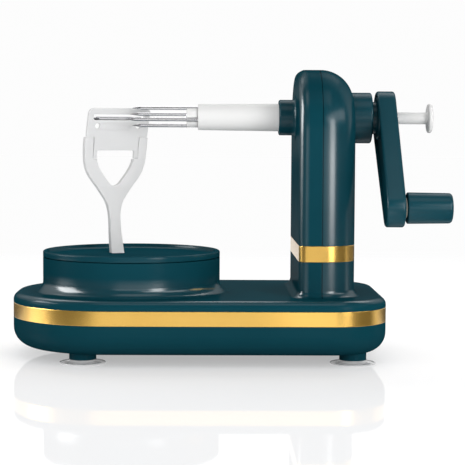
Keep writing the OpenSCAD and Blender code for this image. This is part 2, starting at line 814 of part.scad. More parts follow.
module ejector_button() {
    color(white_plastic) difference() {
        union() {
            rod_x(stem_x0, button_x0 + over, stem_r);
            on_axis(button_x0) rotate_extrude() {
                square([button_r - button_t / 2, button_t]);
                translate([button_r - button_t / 2, button_t / 2]) circle(r = button_t / 2);
            }
        }
        rod_x(stem_x0 - over, stem_x0 + stem_in + fit_gap, rod_r + fit_gap);
    }
}

module return_spring() {
    wire_r = 0.35;
    color(steel) difference() {
        rod_x(pocket_x0 + fit_gap, stem_x0 - fit_gap, stem_r - 2 * fit_gap);
        rod_x(pocket_x0 - over, stem_x0 + over, stem_r - 2 * fit_gap - 2 * wire_r);
    }
}

// Outline of the crank arm, hub at zero and grip end at -crank_r
module arm_outline() {
    t = asin((arm_hub_r - arm_end_r) / crank_r);
    circle(r = arm_hub_r);
    translate([0, -crank_r]) circle(r = arm_end_r);
    polygon([for (p = [[1, arm_hub_r, 0], [1, arm_end_r, crank_r], [-1, arm_end_r, crank_r], [-1, arm_hub_r, 0]])
        [p[0] * p[1] * cos(t), -p[2] - p[1] * sin(t)]]);
}

// Frame of the crank: x along the shaft, hub at zero, grip straight down, then turned to its rest angle
module crank_frame() {
    translate([0, 0, axis_z]) rotate([-crank_rest, 0, 0]) children();
}

module crank_arm() {
    color(teal) difference() {
        union() {
            crank_frame() translate([arm_x0, 0, 0]) rotate([90, 0, 90]) linear_extrude(arm_t) arm_outline();
            rod_x(neck_x0, arm_x0 + over, neck_r);
        }
        rod_x(neck_x0 - over, shaft_x1 + fit_gap, shaft_big_r + fit_gap);
        rod_x(neck_x0, arm_x1 + over, stem_r + fit_gap);
        crank_pin_hole();
        crank_frame() translate([arm_x0 + wall, 0, -crank_r]) rotate([0, 90, 0])
            cylinder(h = arm_t, r = spindle_pin_r + fit_gap);
    }
}

spindle_pin_r = 3;                    // radius of the grip's spindle
spindle_head_l = 2;                   // length of the snap head
module grip_spindle() {
    color(steel) crank_frame() translate([arm_x0 + wall, 0, -crank_r]) rotate([0, 90, 0]) {
        cylinder(h = grip_x1 - 3 * wall - arm_x0, r = spindle_pin_r);
        translate([0, 0, grip_x1 - 2 * wall - spindle_head_l - arm_x0 - wall])
            cylinder(h = spindle_head_l, r = spindle_pin_r + 0.5 * washer_t);
    }
}

module grip_washer() {
    color(nylon) crank_frame() translate([arm_x1, 0, -crank_r]) rotate([0, 90, 0]) difference() {
        cylinder(h = grip_gap - 2 * fit_gap, r = 2 * spindle_pin_r);
        translate([0, 0, -over]) cylinder(h = grip_gap + 2 * over, r = spindle_pin_r + fit_gap);
    }
}

module grip() {
    bore_l = grip_l - wall;
    color(teal) crank_frame() translate([grip_x0, 0, -crank_r]) rotate([0, 90, 0]) difference() {
        rotate_extrude() {
            polygon([[0, 0], [grip_r - edge, 0], [grip_r, edge], [grip_r - edge / 3, grip_l - 2 * edge],
                [grip_r - edge / 3 - 2 * edge, grip_l], [0, grip_l]]);
            translate([grip_r - edge / 3 - 2 * edge, grip_l - 2 * edge]) circle(r = 2 * edge);
        }
        translate([0, 0, -over]) cylinder(h = bore_l + over, r = spindle_pin_r + fit_gap);
        translate([0, 0, bore_l - 2 * spindle_head_l - washer_t])
            cylinder(h = 2 * spindle_head_l + washer_t, r = spindle_pin_r + washer_t);
    }
}

// Frame of the peeler: u across, v backwards, w up from the dish's floor
module turntable_frame() {
    translate([tray_x, 0, dish_z]) rotate([0, 0, peeler_turn]) children();
}
module peeler_frame() {
    turntable_frame() translate([-foot_left, foot_back, 0]) children();
}

bow_w = 40;                                        // height of the bow's deepest point
bow_r = (bow_w * bow_w + bow * bow) / (2 * bow);   // radius of the bow
pivot_w = -5;                                       // height of the pivot, under the dish's floor
pivot_v = -2;                                      // place of the pivot, front to back
pivot_pin_r = 1.2;                                 // radius of the pivot pin
pivot_eye_r = 3;                                   // radius of the handle's pivot eye
ear_t = 2.5;                                       // thickness of the pivot's ears
ear_gap = 0.3;                                     // gap between the eye and the ears
slot_back = 8.8;                                   // slot behind the foot, for the tilt
tray_rib_r = glide_r - rib_w / 2;

module turntable() {
    skirt_r = tray_r - wall - 0.8;
    eye_half = foot_half + ear_gap;
    color(teal) difference() {
        union() {
            difference() {
                translate([tray_x, 0, rim_z - rim_h]) rotate_extrude()
                    polygon([[0, 0], [tray_r, 0], [tray_r, rim_h - edge / 2], [tray_r - edge / 2, rim_h], [0, rim_h]]);
                translate([tray_x, 0, dish_z]) cylinder(h = dish_depth + over, r = tray_r - rim_t);
            }
            translate([tray_x, 0, dish_z - tray_floor_t]) cylinder(h = tray_floor_t, r = skirt_r);
            translate([tray_x, 0, spindle_z]) cylinder(h = dish_z - spindle_z - tray_floor_t / 2, r = spindle_r);
            translate([tray_x, 0, deck_z + deck_t + glide_h + fit_gap]) difference() {
                cylinder(h = dish_z - deck_z - deck_t - glide_h - tray_floor_t / 2, r = tray_rib_r + rib_w);
                translate([0, 0, -over]) cylinder(h = dish_z, r = tray_rib_r);
            }
            peeler_frame() for (s = [-1, 1]) translate([s * (eye_half + ear_t / 2) - ear_t / 2, 0, 0])
                intersection() {
                    translate([0, pivot_v, 0]) rotate([0, 90, 0]) union() {
                        translate([-pivot_w, 0, 0]) cylinder(h = ear_t, r = pivot_eye_r);
                        translate([0, -pivot_eye_r, 0]) cube([-pivot_w, 2 * pivot_eye_r, ear_t]);
                    }
                }
        }
        peeler_frame() translate([-foot_half - free_gap, pivot_v - handle_t / 2 - 2 * free_gap, -tray_floor_t - over])
            cube([2 * (foot_half + free_gap), handle_t + slot_back, tray_floor_t + 2 * over]);
        peeler_frame() translate([-2 * arms_half, pivot_v, pivot_w]) rotate([0, 90, 0])
            cylinder(h = 4 * arms_half, r = pivot_pin_r + fit_gap / 2);
        translate([tray_x, 0, spindle_z - over]) cylinder(h = screw_in + over, r = screw_r + fit_gap / 2);
    }
}

module glide_ring() {
    color(nylon) translate([tray_x, 0, deck_z + deck_t]) difference() {
        cylinder(h = glide_h, r = glide_r + glide_w / 2);
        translate([0, 0, -over]) cylinder(h = glide_h + 2 * over, r = glide_r - glide_w / 2);
    }
}

module turntable_washer() {
    color(steel) translate([tray_x, 0, spindle_z - washer_t]) difference() {
        cylinder(h = washer_t, r = deck_boss_r - over);
        translate([0, 0, -over]) cylinder(h = washer_t + 2 * over, r = screw_r + fit_gap);
    }
}

module turntable_screw() {
    color(steel) translate([tray_x, 0, spindle_z - washer_t]) {
        translate([0, 0, -screw_head_h]) cylinder(h = screw_head_h, r = screw_head_r);
        cylinder(h = washer_t + screw_in - over, r = screw_r);
    }
}

module peeler_pin() {
    half = foot_half + ear_gap + ear_t;
    color(steel) peeler_frame() translate([-half, pivot_v, pivot_w]) rotate([0, 90, 0])
        cylinder(h = 2 * half, r = pivot_pin_r);
}

module torsion_spring() {
    x0 = foot_half + ear_gap + ear_t + ear_gap;
    coil_l = 5;
    coil_r = -pivot_w - tray_floor_t - ear_gap;
    wire = 0.8;
    color(steel) peeler_frame() translate([x0, pivot_v, pivot_w]) rotate([0, 90, 0]) {
        difference() {
            cylinder(h = coil_l, r = coil_r);
            translate([0, 0, -over]) cylinder(h = coil_l + 2 * over, r = coil_r - wire);
        }
        translate([-coil_r, coil_r - wire, 0]) cube([coil_r, wire, wire]);
    }
}

// Slice of the bowed handle, from offset v0 to v1 about its middle surface
module bowed(v0, v1, half) {
    translate([-half, bow - bow_r, bow_w]) rotate([0, 90, 0]) difference() {
        cylinder(h = 2 * half, r = bow_r + v1);
        translate([0, 0, -over]) cylinder(h = 2 * half + 2 * over, r = bow_r + v0);
    }
}

// Half outline of the handle as shares of its half width and of the arms' height
handle_outer_shares = [[0.2, -0.03], [0.203, 0], [0.183, 0.15], [0.168, 0.26], [0.178, 0.335],
    [0.225, 0.405], [0.31, 0.46], [0.43, 0.512], [0.565, 0.567], [0.71, 0.62], [0.825, 0.668],
    [0.905, 0.715], [0.955, 0.765], [0.985, 0.83], [1, 0.91], [1, 1]];
handle_inner_shares = [[0.73, 1], [0.715, 0.81], [0.585, 0.81], [0.575, 0.785], [0.52, 0.745],
    [0.43, 0.7], [0.3, 0.648], [0.17, 0.6], [0.1, 0.583], [0, 0.577]];
function mirrored(pts) = [for (i = [len(pts) - 1:-1:0]) [-pts[i][0], pts[i][1]]];
function sized(pts, w, h) = [for (p = pts) [p[0] * w, p[1] * h]];
module handle_outline() {
    half = concat(handle_outer_shares, handle_inner_shares);
    polygon(sized(concat(half, mirrored(half)), arms_half, arms_h));
}

module upright(u_v_outline_depth) {
    rotate([90, 0, 0]) translate([0, 0, -u_v_outline_depth]) linear_extrude(2 * u_v_outline_depth) children();
}

module peeler_handle() {
    leg_t = carrier_t + fit_gap;
    color(grey_plastic) peeler_frame() {
        difference() {
            union() {
                intersection() {
                    upright(bow_w) handle_outline();
                    bowed(-handle_t / 2, handle_t / 2, 2 * arms_half);
                }
                translate([-foot_half, pivot_v, pivot_w]) rotate([0, 90, 0]) cylinder(h = 2 * foot_half, r = pivot_eye_r);
                translate([-foot_half, pivot_v - pivot_eye_r + free_gap, pivot_w])
                    cube([2 * foot_half, 2 * pivot_eye_r - free_gap, -pivot_w - free_gap]);
            }
            translate([-2 * foot_half, pivot_v, pivot_w]) rotate([0, 90, 0])
                cylinder(h = 4 * foot_half, r = pivot_pin_r + fit_gap);
        }
    }
}

// The carrier: a plate that fills the fork of the handle, with a slot for the blade
carrier_half = 0.975;                 // half width as a share of the arms' half width
leg_share = 0.715;                    // the legs' outer half width as a share of the arms' half width
carrier_corner = 3;                   // corner radius of the carrier
slot_half_share = 0.81;               // half length of the slot as a share of the arms' half width
slot_w = blade_w + 1.7;               // width of the slot
slot_down = 0.215 * carrier_up;       // solid strip above the slot
hole_down = 0.613 * carrier_up;       // distance of the holes below the carrier's top
hole_half_share = 0.65;               // half distance of the holes as a share of the arms' half width
module carrier_outline() {
    w = carrier_half * arms_half;
    leg = leg_share * arms_half - fit_gap;
    leg_in = 0.588 * arms_half;
    difference() {
        union() {
            for (s = [-1, 1]) translate([s * (w - carrier_corner), peeler_h - carrier_corner])
                circle(r = carrier_corner);
            translate([carrier_corner - w, arms_h]) square([2 * (w - carrier_corner), peeler_h - arms_h]);
            translate([-w, arms_h + fit_gap]) square([2 * w, peeler_h - arms_h - carrier_corner]);
            polygon([[-leg, 1.085 * arms_h], [-leg, 0.815 * arms_h], [-leg_in, 0.815 * arms_h],
                [-leg_in, 0.885 * arms_h], [leg_in, 0.885 * arms_h], [leg_in, 0.815 * arms_h],
                [leg, 0.815 * arms_h], [leg, 1.085 * arms_h]]);
        }
        slot_half = slot_half_share * arms_half;
        translate([-slot_half, peeler_h - slot_down - slot_w]) square([2 * slot_half, slot_w]);
        for (s = [-1, 1]) translate([s * hole_half_share * arms_half, peeler_h - hole_down])
            circle(r = carrier_hole_r);
    }
}

module blade_carrier() {
    color(grey_plastic) peeler_frame() difference() {
        intersection() {
            upright(bow_w) carrier_outline();
            bowed(-handle_t / 2, carrier_t - handle_t / 2, 2 * arms_half);
        }
        for (s = [-1, 1]) blade_axis() translate([0, 0, s * (slot_half_share * arms_half + blade_hole_l / 2)])
            cylinder(h = 2 * blade_hole_l, r = blade_pin_r + fit_gap, center = true);
    }
}

// Axis of the blade: along u, in the lower half of the slot
blade_pin_r = 0.6;
blade_axis_w = peeler_h - slot_down - slot_w + blade_w / 2 + 0.25;
blade_axis_v = bow - bow_r + sqrt(pow(bow_r - handle_t / 2 + carrier_t / 2, 2) - pow(blade_axis_w - bow_w, 2));
module blade_axis() {
    translate([0, blade_axis_v, blade_axis_w]) rotate([0, 90, 0]) children();
}

blade_t = 0.8;
blade_end_gap = 0.4;
module blade() {
    half = slot_half_share * arms_half - blade_end_gap;
    lean = asin((blade_axis_w - bow_w) / bow_r);
    slit_half = half - 4;
    color(steel) peeler_frame() translate([0, blade_axis_v, blade_axis_w]) rotate([lean, 0, 0]) difference() {
        rotate([90, 0, 0]) translate([0, 0, -blade_t / 2]) linear_extrude(blade_t) difference() {
            polygon([[-half, -blade_w / 2], [half, -blade_w / 2], [half - blade_w * 0.8, blade_w / 2],
                [blade_w * 0.8 - half, blade_w / 2]]);
            translate([-slit_half, -blade_w / 8]) square([2 * slit_half, blade_w / 4]);
        }
        rotate([0, 90, 0]) translate([0, 0, -2 * half]) cylinder(h = half + blade_pin_in, r = blade_pin_r / 2);
        rotate([0, 90, 0]) translate([0, 0, half - blade_pin_in]) cylinder(h = half, r = blade_pin_r / 2);
    }
}
blade_pin_in = 2;                     // length of the pin in the blade
blade_hole_l = 1.6;                   // depth of the pin's hole in the carrier

module blade_pivots() {
    half = slot_half_share * arms_half - blade_end_gap;
    color(steel) peeler_frame() blade_axis() for (s = [0, 180]) rotate([s, 0, 0])
        translate([0, 0, half - blade_pin_in]) {
            cylinder(h = blade_pin_in, r = blade_pin_r / 2);
            translate([0, 0, blade_pin_in]) cylinder(h = blade_end_gap + blade_hole_l, r = blade_pin_r);
        }
}

plug_r = 2.6;                         // radius of a suction cup's plug
plug_h = 6;                           // height of a suction cup's plug
cup_lip = 3.2;                        // width of the flat lip
cup_t = 0.8;                          // thickness of the lip
module suction_cup(sx, sy) {
    x = sx < 0 ? base_x0 + left_foot_in : base_x1 - right_foot_in;
    top = post_z - fit_gap;
    color(clear_grey) translate([x, sy * foot_y, 0]) rotate_extrude()
        polygon([[0, top - 1.2 * cup_t], [cup_r - cup_lip - cup_t, cup_t / 2], [cup_r - cup_lip, 0], [cup_r, 0],
            [cup_r, cup_t * 0.6], [cup_r - cup_lip, cup_t * 1.3], [post_r, top * 0.85], [post_r * 0.7, top],
            [plug_r, top], [plug_r, post_z + plug_h - free_gap], [0, post_z + plug_h - free_gap]]);
}
module cup_front_left() { suction_cup(-1, -1); }
module cup_front_right() { suction_cup(1, -1); }
module cup_back_left() { suction_cup(-1, 1); }
module cup_back_right() { suction_cup(1, 1); }

base_upper();
base_lower();
base_drum();
pillar_foot();
base_band();
base_screws();
pillar_left();
pillar_right();
pillar_boss();
pillar_hub();
pillar_band();
pillar_screws();
pillar_dowels();
bush_left();
bush_right();
thrust_washer();
drive_shaft();
retaining_ring();
fork_tube();
prong_holder();
prong_top();
prong_back();
prong_bottom();
prong_front();
ejector_block();
ejector_rod();
ejector_button();
return_spring();
crank_arm();
crank_pin();
grip_spindle();
grip_washer();
grip();
turntable();
glide_ring();
turntable_washer();
turntable_screw();
peeler_pin();
torsion_spring();
peeler_handle();
blade_carrier();
blade();
blade_pivots();
cup_front_left();
cup_front_right();
cup_back_left();
cup_back_right();
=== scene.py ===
"""Crank fruit peeler: finishes, detailed pieces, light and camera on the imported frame."""

import json
import math
import bpy
from mathutils import Matrix, Vector

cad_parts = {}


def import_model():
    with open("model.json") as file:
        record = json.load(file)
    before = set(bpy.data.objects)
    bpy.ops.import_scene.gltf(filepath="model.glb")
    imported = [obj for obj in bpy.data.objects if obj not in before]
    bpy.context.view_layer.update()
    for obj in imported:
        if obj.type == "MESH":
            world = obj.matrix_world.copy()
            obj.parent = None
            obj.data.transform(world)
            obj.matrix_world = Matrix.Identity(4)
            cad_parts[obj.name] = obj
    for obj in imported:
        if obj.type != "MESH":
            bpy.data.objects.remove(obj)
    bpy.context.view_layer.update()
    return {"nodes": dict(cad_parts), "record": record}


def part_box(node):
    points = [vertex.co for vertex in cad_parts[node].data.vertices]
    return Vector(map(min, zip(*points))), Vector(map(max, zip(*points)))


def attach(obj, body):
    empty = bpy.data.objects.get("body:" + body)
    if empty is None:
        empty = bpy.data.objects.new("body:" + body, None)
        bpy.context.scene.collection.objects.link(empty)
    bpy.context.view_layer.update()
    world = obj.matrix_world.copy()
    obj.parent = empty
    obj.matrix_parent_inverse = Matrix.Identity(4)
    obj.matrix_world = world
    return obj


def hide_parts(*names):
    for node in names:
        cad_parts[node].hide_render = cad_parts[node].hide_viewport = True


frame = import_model()
nodes = frame["nodes"]

MM = 0.001
MERGE = 0.000002
POINT = 0.002

# Places along the fork axis, in millimetres
TRAY_X = -59.95
MOUTH_X = -18.95
BOSS_X0 = 31.15
PILLAR_X0, SEAM_X = 41.75, 55.55
ARM_X0, ARM_X1 = 91.75, 102.95
GRIP_X0, GRIP_X1 = 104.45, 132.25
BUTTON_X0 = 123.95
AXIS_Z = 147.1
PRONG_RING_R, PRONG_PHASE, BLOCK_R = 5.65, 73, 6.3
BLOCK_L = 7.0
CRANK_R = 75.5
CRANK_REST = math.radians(45)
PEELER_TURN = math.radians(18)
DISH_Z = 61.5


# Finishes

class Wire:
    """A shader socket that can be written in sums."""

    def __init__(self, tree, socket):
        self.tree = tree
        self.socket = socket

    def calc(self, how, *terms):
        made = self.tree.nodes.new("ShaderNodeMath")
        made.operation = how
        for place, term in enumerate(terms):
            if isinstance(term, Wire):
                self.tree.links.new(term.socket, made.inputs[place])
            else:
                made.inputs[place].default_value = term
        return Wire(self.tree, made.outputs[0])

    def __add__(self, other):
        return self.calc("ADD", self, other)

    __radd__ = __add__

    def __sub__(self, other):
        return self.calc("SUBTRACT", self, other)

    def __rsub__(self, other):
        return self.calc("SUBTRACT", other, self)

    def __mul__(self, other):
        return self.calc("MULTIPLY", self, other)

    __rmul__ = __mul__

    def inside(self, low, high):
        """From 0 to 1 as the value goes from low to high."""
        return self.calc("MULTIPLY_ADD", self, 1 / (high - low), -low / (high - low)).held()

    def held(self):
        return self.calc("MINIMUM", self.calc("MAXIMUM", self, 0.0), 1.0)


def linear(red, green, blue):
    """A colour given in 0-255 display values, as Blender wants it."""
    def one(value):
        value /= 255
        return value / 12.92 if value <= 0.04045 else ((value + 0.055) / 1.055) ** 2.4
    return (one(red), one(green), one(blue), 1.0)


class Finish:
    """A material with its Principled shader and a place in Object coordinates, in metres."""

    def __init__(self, name, **plain):
        self.material = bpy.data.materials.new(name)
        self.material.use_nodes = True
        self.tree = self.material.node_tree
        self.shader = self.tree.nodes["Principled BSDF"]
        self.place = Wire(self.tree, self.tree.nodes.new("ShaderNodeTexCoord").outputs["Object"])
        self.set(**plain)

    def set(self, **values):
        for name, value in values.items():
            self.plug(self.shader.inputs[name.replace("_", " ")], value)

    def plug(self, socket, value):
        if isinstance(value, Wire):
            self.tree.links.new(value.socket, socket)
        else:
            socket.default_value = value

    def node(self, kind, settings=None, inputs=None, output=0):
        made = self.tree.nodes.new(kind)
        for name, value in (settings or {}).items():
            setattr(made, name, value)
        for name, value in (inputs or {}).items():
            self.plug(made.inputs[name], value)
        return Wire(self.tree, made.outputs[output])

    def stretched(self, scale):
        return self.node("ShaderNodeMapping", {}, {"Vector": self.place, "Scale": scale})

    def noise(self, scale, detail=2.0, rough=0.5, stretch=None):
        place = self.stretched(stretch) if stretch else self.place
        return self.node("ShaderNodeTexNoise", {},
                         {"Vector": place, "Scale": scale, "Detail": detail, "Roughness": rough})

    def mixed(self, amount, first, second):
        made = self.tree.nodes.new("ShaderNodeMix")
        made.data_type = "RGBA"
        self.plug(made.inputs[0], amount)
        self.plug(made.inputs[6], first)
        self.plug(made.inputs[7], second)
        return Wire(self.tree, made.outputs[2])

    def part(self, axis):
        """One of the three Object coordinates, in metres."""
        split = self.tree.nodes.new("ShaderNodeSeparateXYZ")
        self.plug(split.inputs[0], self.place)
        return Wire(self.tree, split.outputs["XYZ".index(axis)])

    def bumped(self, height, distance):
        self.set(Normal=self.node("ShaderNodeBump", {},
                                  {"Height": height, "Distance": distance, "Strength": 1.0}))


def moulded(name, colour, deep, roughness, gloss, skin, pebble=0.000006, cloud=0.05, lacquer=1.5, fade=0.97,
            **more):
    """Moulded plastic: faint clouds in the colour, a fine skin, and a lacquer-like gloss that is
    weaker where the surface turns away. The gloss may vary with the place."""
    finish = Finish(name, Specular_IOR_Level=0.0, Coat_Roughness=skin, Coat_IOR=lacquer, **more)
    clouds = finish.noise(38.0, 3.0)
    specks = finish.noise(700.0, 2.0)
    scuffs = finish.noise(210.0, 4.0, 0.7, (1.0, 1.0, 5.0)).inside(0.62, 0.80)
    turned_away = finish.node("ShaderNodeLayerWeight", {}, {"Blend": 0.5}, "Facing")
    if callable(gloss):
        gloss = gloss(finish)
    if callable(fade):
        fade = fade(finish)
    finish.set(
        Base_Color=finish.mixed(clouds.inside(0.35, 0.65) * cloud * 4 + specks * cloud, colour, deep),
        Roughness=clouds * 0.05 + scuffs * 0.04 + specks * 0.03 + (roughness - 0.05),
        Coat_Weight=((1.0 - turned_away.inside(0.4, 0.85) * fade)
                     * (1.0 - scuffs * 0.12 - clouds * 0.06) * gloss),
    )
    finish.skin = finish.noise(1300.0, 2.0) * 0.5 + finish.noise(180.0, 2.0) * 0.5
    finish.bumped(finish.skin, pebble)
    return finish


TEAL_TONE, TEAL_DEEP = linear(13, 62, 73), linear(8, 53, 63)


def teal(name="teal_gloss", gloss=0.5, skin=0.25):
    return moulded(name, TEAL_TONE, TEAL_DEEP, 0.5, gloss, skin, 0.000004)


def base_teal():
    """The base is glossy round the rim of its top and in the fillets, and satin on its walls."""
    def gloss(finish):
        height = finish.part("Z")
        return height.inside(0.0368, 0.0385) * (1.0 - height.inside(0.047, 0.051)) * 0.96 + 0.04
    return moulded("teal_base", TEAL_TONE, TEAL_DEEP, 0.5, gloss, 0.2, 0.000004, lacquer=1.6)


def pillar_teal():
    """The pillar's two shells meet in a fine groove, whose shade is painted dark into the colour.
    Their gloss ends below the arch, lower on the crank's side than on the fork's, and the flat side under the
    fork keeps it when seen along."""
    def gloss(finish):
        height, across = finish.part("Z"), finish.part("X")
        fork_side = 1.0 - across.inside(PILLAR_X0 * MM + 0.004, PILLAR_X0 * MM + 0.006)
        crank_side = across.inside(SEAM_X * MM - 0.001, SEAM_X * MM + 0.003)
        return (crank_side * (1.0 - height.inside(0.124, 0.168) * 0.9)
                + fork_side * (1.0 - height.inside(0.164, 0.172) * 0.9) + 0.04)

    def fade(finish):
        flat = 1.0 - finish.part("X").inside(PILLAR_X0 * MM + 0.0001, PILLAR_X0 * MM + 0.0012)
        return 0.97 - flat * 0.03
    finish = moulded("teal_pillar", TEAL_TONE, TEAL_DEEP, 0.5, gloss, 0.22, 0.000004, lacquer=1.6, fade=fade)
    from_seam = finish.part("X") - SEAM_X * MM
    # painted shade: along the seam the colour is mixed towards near-black teal, as well as the bump cutting the
    # groove
    seam_groove_and_painted_shade = 1.0 - from_seam.calc("ABSOLUTE", from_seam).inside(0.00012, 0.00034)
    clouds = finish.noise(38.0, 3.0)
    finish.set(Base_Color=finish.mixed(seam_groove_and_painted_shade * 0.85, finish.mixed(clouds, TEAL_TONE, TEAL_DEEP),
                                       linear(0, 18, 24)))
    finish.bumped(finish.skin * 0.02 - seam_groove_and_painted_shade, 0.0002)
    return finish


def white():
    return moulded("white_satin", linear(224, 224, 223), linear(218, 218, 218), 0.5, 0.15, 0.32, 0.000008, 0.06)


def pale_grey():
    return moulded("pale_grey_satin", linear(220, 220, 220), linear(212, 212, 213), 0.5, 0.15, 0.35,
                   0.00001, 0.06)


def nylon():
    return moulded("natural_nylon", linear(232, 228, 216), linear(220, 214, 198), 0.5, 0.15, 0.4,
                   0.00002, 0.1)


def gold():
    """Foil-faced trim: soft metal gloss with very fine lines along the band and a slightly uneven tone."""
    finish = Finish("gold_trim", Coat_Weight=0.7, Coat_Roughness=0.25)
    drift = finish.noise(30.0, 2.0)
    lines = finish.noise(800.0, 2.0, 0.5, (0.08, 0.08, 6.0))
    finish.set(
        Metallic=drift * 0.06 + 0.8,
        Base_Color=finish.mixed(drift.inside(0.3, 0.7), linear(234, 188, 88), linear(229, 182, 82)),
        Roughness=lines * 0.02 + drift * 0.03 + 0.21,
    )
    finish.bumped(lines, 0.0000007)
    return finish


def steel(name, colour=(196, 198, 201), roughness=0.26, grain=(0.1, 6.0, 6.0), tarnish=0.35):
    """Drawn or ground steel with lines along one axis and faint tarnish."""
    finish = Finish(name, Metallic=1.0)
    lines = finish.noise(1400.0, 3.0, 0.6, grain)
    stain = finish.noise(120.0, 4.0, 0.6).inside(0.45, 0.75)
    dull = linear(*[c * 0.8 for c in colour])
    finish.set(
        Base_Color=finish.mixed(stain * tarnish, linear(*colour), dull),
        Roughness=lines * 0.16 + stain * 0.08 + (roughness - 0.08),
    )
    finish.bumped(lines, 0.000006)
    return finish


def clear_rubber():
    """Clear soft plastic of the suction cups, a little cloudy."""
    finish = Finish("clear_soft_plastic", IOR=1.35, Coat_Weight=0.9, Coat_Roughness=0.1)
    cloud = finish.noise(160.0, 3.0)
    finish.set(
        Base_Color=finish.mixed(cloud, linear(250, 251, 252), linear(240, 242, 243)),
        Roughness=cloud * 0.12 + 0.16,
        Alpha=cloud * 0.12 + 0.4,
    )
    finish.bumped(cloud, 0.00002)
    return finish


TEAL = teal()
TEAL_DISH = teal("teal_turntable", 0.28, 0.2)
TEAL_BASE = base_teal()
TEAL_PILLAR = pillar_teal()
GOLD = gold()
WHITE = white()
GREY = pale_grey()
NYLON = nylon()
FORK_STEEL = steel("fork_steel", (226, 226, 228), 0.17)
SCREW_STEEL = steel("screw_steel", (168, 171, 176), 0.34, (3.0, 3.0, 3.0), 0.6)
BLADE_STEEL = steel("blade_steel", (116, 117, 120), 0.32, (0.3, 6.0, 6.0))
CLEAR = clear_rubber()

FINISHES = {
    "teal_plastic": TEAL, "gold_trim": GOLD, "white_plastic": WHITE, "grey_plastic": GREY,
    "nylon": NYLON, "screw_steel": SCREW_STEEL, "fork_steel": FORK_STEEL,
    "blade_steel": BLADE_STEEL, "clear_rubber": CLEAR,
}


def wear(obj, finish):
    """Gives a piece or a CAD node its finish."""
    obj.data.materials.clear()
    obj.data.materials.append(finish.material)


TEAL_NODES = {"base_upper": TEAL_BASE, "base_lower": TEAL_BASE, "base_drum": TEAL_BASE,
              "pillar_left": TEAL_PILLAR, "pillar_right": TEAL_PILLAR, "pillar_foot": TEAL_PILLAR}

for row in frame["record"]["subparts"]:
    node = nodes[row["node"]]
    worn = TEAL_NODES.get(row["node"], FINISHES[row["material_slot"]])
    for place in node.material_slots:
        place.material = worn.material


# Ways of making

def let_go():
    if bpy.context.object and bpy.context.object.mode == "EDIT":
        bpy.ops.object.mode_set(mode="OBJECT")
    bpy.ops.object.select_all(action="DESELECT")


def hold(obj):
    let_go()
    obj.select_set(True)
    bpy.context.view_layer.objects.active = obj


def rounded(points, radii, closed=True, steps=5):
    """The corners of a flat line, each rounded by its radius."""
    count = len(points)
    if not isinstance(radii, (list, tuple)):
        radii = [radii] * count
    out = []
    for i, here in enumerate(points):
        here = Vector(here)
        if radii[i] <= 0 or (not closed and i in (0, count - 1)):
            out.append(here)
            continue
        back = Vector(points[i - 1]) - here
        ahead = Vector(points[(i + 1) % count]) - here
        half = back.angle(ahead) / 2
        if half > math.radians(89.5):
            out.append(here)
            continue
        cut = min(radii[i] / math.tan(half), 0.49 * back.length, 0.49 * ahead.length)
        radius = cut * math.tan(half)
        middle = here + (back.normalized() + ahead.normalized()).normalized() * (radius / math.sin(half))
        first = here + back.normalized() * cut - middle
        last = here + ahead.normalized() * cut - middle
        sweep = first.angle(last)
        for k in range(steps + 1):
            share = k / steps
            if sweep < 1e-6:
                out.append(middle + first)
                continue
            out.append(middle + (first * math.sin((1 - share) * sweep)
                                 + last * math.sin(share * sweep)) / math.sin(sweep))
    return [tuple(p) for p in out]


def start_line(name):
    """A new object whose mesh is one selected vertex at the origin."""
    let_go()
    bpy.ops.mesh.primitive_plane_add(size=POINT)
    obj = bpy.context.object
    obj.name = name
    bpy.ops.object.mode_set(mode="EDIT")
    bpy.ops.mesh.select_all(action="SELECT")
    bpy.ops.mesh.merge(type="CENTER")
    return obj


def draw(points):
    """Draws a line from the selected vertex, which stands at the origin, through the points."""
    here = Vector(points[0])
    bpy.ops.transform.translate(value=here)
    for point in points[1:]:
        point = Vector(point)
        bpy.ops.mesh.extrude_vertices_move(TRANSFORM_OT_translate={"value": point - here})
        here = point


def tidy():
    bpy.ops.mesh.select_all(action="SELECT")
    bpy.ops.mesh.remove_doubles(threshold=MERGE)
    bpy.ops.mesh.normals_make_consistent(inside=False)


def put(obj, place):
    """Places a piece and leaves its object at the origin."""
    hold(obj)
    obj.matrix_world = place
    bpy.ops.object.transform_apply(location=True, rotation=True, scale=True)


def smooth(obj, angle=35):
    hold(obj)
    bpy.ops.object.shade_smooth_by_angle(angle=math.radians(angle))


def turned(name, profile, place, steps=72, angle=35):
    """A shape turned about its own Z from (height, radius) points in millimetres."""
    obj = start_line(name)
    draw([(radius * MM, 0, height * MM) for height, radius in profile])
    bpy.ops.mesh.select_all(action="SELECT")
    bpy.ops.mesh.spin(steps=steps, angle=2 * math.pi, center=(0, 0, 0), axis=(0, 0, 1))
    tidy()
    put(obj, place)
    smooth(obj, angle)
    return obj


def loop(points):
    return list(points) + [points[0]]


